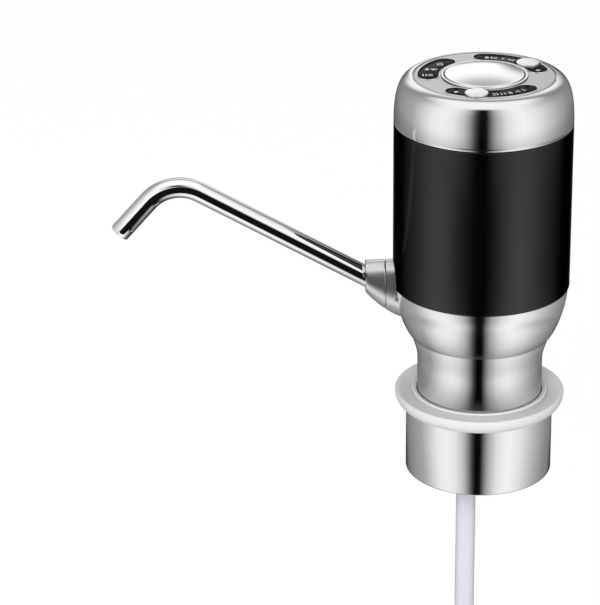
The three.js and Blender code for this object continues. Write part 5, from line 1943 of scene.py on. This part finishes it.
# How bright the wall and the sky are, by heading and by height in degrees
WALL_STOPS = [
    (-180, 0.04), (-168, 0.07), (-154, 0.2), (-97, 0.44), (-64, 0.96), (-49, 1.02),
    (-36, 0.92), (-23, 0.6), (-16.6, 0.33), (-10, 0.065), (-5, 0.0), (4, 0.0),
    (8.6, 0.16), (15, 0.44), (21, 0.61), (28, 0.84), (40, 1.0), (50, 1.04),
    (69, 0.88), (85, 0.66), (104, 0.46), (128, 0.3), (144, 0.25), (154, 0.22),
    (168, 0.07), (180, 0.04),
]
SLEEVE_STOPS = [
    (-180, 0.04), (-150, 0.25), (-101, 0.28), (-89, 0.32), (-78, 0.52), (-69, 0.72),
    (-58, 0.84), (-50, 0.81), (-42, 0.66), (-34, 0.39), (-26, 0.19), (-17, 0.08),
    (-9, 0.02), (4, 0.0), (11, 0.05), (20, 0.26), (28, 0.49), (36, 0.73),
    (46, 0.9), (53, 0.86), (62, 0.71), (79, 0.39), (99, 0.19), (118, 0.15),
    (150, 0.2), (180, 0.04),
]
SKY_STOPS = [
    (0, 0.95), (38, 1.0), (92, 1.06), (112, 1.0), (118, 0.7), (122, 0.34),
    (126, 0.31), (129, 0.37), (134, 0.5), (138.6, 0.71), (141, 0.86), (144, 1.0),
    (158, 1.08), (180, 1.12),
]


def wall_share(wire, x, y, pinch=1.0):
    """Where a heading points on the wall, from 0 at the back round to 1"""
    turn = wire.maths("ARCTAN2", x, y * -1.0) - math.radians(WALL_TURN)
    return turn * pinch / (2 * math.pi) + 0.5


def wall_pattern(wire, x, y, stops=WALL_STOPS, pinch=1.0):
    """The wall's brightness at a heading"""
    return ramp(wall_share(wire, x, y, pinch), [((turn + 180) / 360, grey(level)) for turn, level in stops])


def seen_by(wire, ray):
    """1 for rays of a kind"""
    return wire.node("ShaderNodeLightPath", output=f"Is {ray} Ray")


def back_face(wire):
    return wire.node("ShaderNodeNewGeometry", output="Backfacing")


def glow(wire, colour, strength=1.0):
    return wire.node("ShaderNodeEmission", sockets={"Color": colour, "Strength": strength})


class PUMP_OT_stage(bpy.types.Operator):
    """Make the floor, the light wall round the object, the sky and the lamp"""

    bl_idname = "pump.stage"
    bl_label = "Floor and light"

    def execute(self, context):
        stage = context.scene.pump_stage
        self.make_floor(stage)
        self.make_wall(stage)
        self.make_shelf(context.scene.pump_body)
        self.make_ribbon()
        self.make_sky(context, stage)
        self.make_lamp(context, stage)
        return {"FINISHED"}

    def make_floor(self, stage):
        half = stage.floor_size / 2
        bm = bmesh.new()
        corners = [(-half, -half), (half, -half), (half, half), (-half, half)]
        bm.faces.new([bm.verts.new((x, y, stage.floor_height)) for x, y in corners])
        material, wire = new_material("floor_paper")
        grain = cloud(wire, 30.0, detail=4.0)
        colour = blend_colours(wire, grain, grey(0.9), grey(0.93))
        paper = wire.node("ShaderNodeBsdfDiffuse", sockets={"Color": colour})
        rays = wire.maths("MAXIMUM", seen_by(wire, "Glossy"), seen_by(wire, "Transmission"))
        rays = wire.maths("MAXIMUM", seen_by(wire, "Camera"), rays)
        white = glow(wire, grey(1.0), FLOOR_LIGHT)
        seen = mix_shaders(wire, rays * FLOOR_LIGHT_SHARE, paper, white)
        self.add_stage("floor", bm, material, wire, seen, back_face(wire), hidden=False)

    def make_wall(self, stage):
        """A cylinder of light with a foot, darker ahead and brighter at the sides"""
        bm = bmesh.new()
        low = stage.floor_height + WALL_LIFT
        edges = [(WALL_FOOT_RADIUS, low), (stage.wall_radius, low), (stage.wall_radius, WALL_TOP)]
        add_walls(bm, [ring_at(radius, z, segments=CARD_SEGMENTS) for radius, z in edges])
        material, wire = new_material("wall_light")
        x, y, z = parts_of(wire.node("ShaderNodeTexCoord", output="Object"))
        level = self.wall_level(wire, x, y, z)
        away = length_of(x, y)
        fade = mapped(away, *WALL_FOOT_FADE, WALL_FOOT_SHARE, 1.0)
        faded = blend_colours(wire, fade, grey(WALL_FOOT_LEVEL), level)
        behind = mapped(wire.maths("ABSOLUTE", wall_share(wire, x, y) - 0.5) * 2, *WALL_BEHIND)
        drop = mapped(wire.maths("ABSOLUTE", x / away), *WALL_DROP_HEADINGS, *WALL_DROPS)
        height = mapped(z + behind * drop, *WALL_FADE_HEIGHTS)
        self.add_stage("light_wall", bm, material, wire, glow(wire, faded), height)

    def wall_level(self, wire, x, y, z):
        """The wall's pattern by height: pinched low down, the sleeve's own over that, then shaded"""
        pinch = mapped(z, *WALL_PINCH_HEIGHTS, WALL_PINCH, 1.0)
        over = mapped(z, *SLEEVE_PATTERN_FOOT)
        below = mapped(z, *SLEEVE_PATTERN_TOP, 1.0, 0.0)
        shade = mapped(z, 0.0, WALL_SHADE_HEIGHT, WALL_SHADE, 0.0)
        pattern = wall_pattern(wire, x, y, pinch=pinch)
        shaded = blend_colours(wire, shade * (1.0 - below), pattern, grey(0.0))
        return blend_colours(wire, over * below, shaded, wall_pattern(wire, x, y, SLEEVE_STOPS))

    def make_shelf(self, body):
        """A ring over the collar that carries the wall's pattern, dimmer, to the metal above"""
        bm = bmesh.new()
        height = body.ring_top + SHELF_RISE
        radii = (SHELF_RADIUS, body.neck_radius + SHELF_GAP)
        add_walls(bm, [ring_at(radius, height, segments=CARD_SEGMENTS) for radius in radii])
        material, wire = new_material("shelf_light")
        x, y, _ = parts_of(wire.node("ShaderNodeTexCoord", output="Object"))
        away = length_of(x, y)
        start, reach = SHELF_STOP_START, SHELF_STOP_REACH
        stops = [((distance - start) / reach, grey(level)) for distance, level in SHELF_STOPS]
        share = ramp((away - start * MM) / (reach * MM), stops)
        near = mapped(away, *SHELF_GLOW_REACH, SHELF_GLOW, 0.0, "LINEAR")
        dimmed = blend_colours(wire, share, near, wall_pattern(wire, x, y, pinch=SHELF_PINCH))
        beyond = mapped(away, SHELF_FADE_START, SHELF_RADIUS)
        unseen = wire.maths("MAXIMUM", back_face(wire), beyond)
        self.add_stage("light_shelf", bm, material, wire, glow(wire, dimmed), unseen)

    def make_ribbon(self):
        """A dark card beside the spout, seen from the spout alone"""
        ahead = Vector((0.0, -RIBBON_AHEAD, 0.0))
        line = spout_line(-RIBBON_START)
        tip, side = line[-1]
        line.append((tip + (tip - line[-2][0]) * RIBBON_TAIL, side))
        bm = bmesh.new()
        low, high = [], []
        for index, (point, side) in enumerate(line):
            share = index / (len(line) - 1)
            low.append(bm.verts.new(point + ahead - side * (RIBBON_LOW[0] + RIBBON_LOW[1] * share) * MM))
            high.append(bm.verts.new(point + ahead + side * (RIBBON_HIGH[0] + RIBBON_HIGH[1] * share) * MM))
        for k in range(len(line) - 1):
            bm.faces.new((low[k], low[k + 1], high[k + 1], high[k]))
        material, wire = new_material("ribbon_dark")
        dark = glow(wire, grey(RIBBON_LEVEL))
        self.add_stage("dark_ribbon", bm, material, wire, dark, back_face(wire))

    def add_stage(self, name, bm, material, wire, shader, clear_mask, hidden=True):
        """An object of the stage, clear where its mask is 1; a hidden one shows in glossy pieces alone"""
        clear = wire.node("ShaderNodeBsdfTransparent")
        close_tree(material.node_tree, mix_shaders(wire, clear_mask, shader, clear))
        made = add_object(name, bm)
        made.data.materials.append(material)
        if hidden:
            made.visible_camera = False
            made.visible_diffuse = False
            made.visible_shadow = False
            made.visible_transmission = False

    def make_sky(self, context, stage):
        world = bpy.data.worlds.new("studio")
        world.use_nodes = True
        world.node_tree.nodes.clear()
        context.scene.world = world
        wire = Wire(world.node_tree)
        x, y, z = parts_of(wire.node("ShaderNodeTexCoord", output="Generated"))
        angle = wire.maths("ARCTAN2", z, y * -1.0) / math.pi
        upright = ramp(angle, [(degrees / 180, grey(level)) for degrees, level in SKY_STOPS])
        beside = mapped(wire.maths("ABSOLUTE", x), *SKY_BESIDE)
        low_down = mapped(z, *SKY_LOW_DOWN, 1.0, 0.0)
        low_ahead = mapped(angle, *SKY_LOW_AHEAD, 1.0, 0.0)
        painted = wire.maths("MAXIMUM", beside * low_down, low_ahead)
        gloss = blend_colours(wire, painted, upright, wall_pattern(wire, x, y))
        ahead, behind = SKY_LEVELS
        level = blend_colours(wire, y * 0.5 + 0.5, grey(ahead), grey(behind))
        plain = wire.node("ShaderNodeBackground", sockets={"Color": level, "Strength": stage.sky})
        shiny = wire.node("ShaderNodeBackground", sockets={"Color": gloss, "Strength": 1.0})
        white = wire.node("ShaderNodeBackground", sockets={"Color": grey(1.0), "Strength": 1.0})
        first = mix_shaders(wire, seen_by(wire, "Glossy"), plain, shiny)
        final = mix_shaders(wire, seen_by(wire, "Camera"), first, white)
        close_tree(world.node_tree, final, "ShaderNodeOutputWorld")

    def make_lamp(self, context, stage):
        lamp = bpy.data.lights.new("soft_key", "AREA")
        lamp.shape = "DISK"
        lamp.size = LAMP_SIZE
        lamp.energy = stage.key
        key = bpy.data.objects.new("soft_key", lamp)
        context.scene.collection.objects.link(key)
        place = Vector(LAMP_PLACE)
        key.location = place
        key.rotation_euler = (Vector(LAMP_AIM) - place).to_track_quat("-Z", "Y").to_euler()
        key.visible_glossy = False


class PUMP_PT_panel(bpy.types.Panel):
    """Steps that build the water pump's dressed pieces"""

    bl_idname = "PUMP_PT_panel"
    bl_label = "Water Pump"
    bl_space_type = "VIEW_3D"
    bl_region_type = "UI"
    bl_category = "Water Pump"

    def draw(self, context):
        column = self.layout.column(align=True)
        for operator in OPERATORS:
            column.operator(operator.bl_idname)


OPERATORS = (
    PUMP_OT_camera,
    PUMP_OT_hose,
    PUMP_OT_collar,
    PUMP_OT_housing,
    PUMP_OT_socket,
    PUMP_OT_spout,
    PUMP_OT_sleeve,
    PUMP_OT_port,
    PUMP_OT_cap,
    PUMP_OT_plate,
    PUMP_OT_windows,
    PUMP_OT_buttons,
    PUMP_OT_inside,
    PUMP_OT_stage,
)
GROUPS = {
    "pump_body": PumpBodySizes,
    "pump_top": PumpTopSizes,
    "pump_spout": PumpSpoutSizes,
    "pump_colours": PumpColours,
    "pump_stage": PumpStageSettings,
}


def register():
    for group in GROUPS.values():
        bpy.utils.register_class(group)
    for name, group in GROUPS.items():
        setattr(bpy.types.Scene, name, PointerProperty(type=group))
    for operator in OPERATORS:
        bpy.utils.register_class(operator)
    bpy.utils.register_class(PUMP_PT_panel)


def unregister():
    bpy.utils.unregister_class(PUMP_PT_panel)
    for operator in reversed(OPERATORS):
        bpy.utils.unregister_class(operator)
    for name, group in GROUPS.items():
        delattr(bpy.types.Scene, name)
        bpy.utils.unregister_class(group)


def main():
    register()
    bpy.ops.pump.camera()
    bpy.ops.pump.hose()
    bpy.ops.pump.collar()
    bpy.ops.pump.housing()
    bpy.ops.pump.socket()
    bpy.ops.pump.spout()
    bpy.ops.pump.sleeve()
    bpy.ops.pump.port()
    bpy.ops.pump.cap()
    bpy.ops.pump.plate()
    bpy.ops.pump.windows()
    bpy.ops.pump.buttons()
    bpy.ops.pump.inside()
    bpy.ops.pump.stage()


if __name__ == "__main__":
    main()
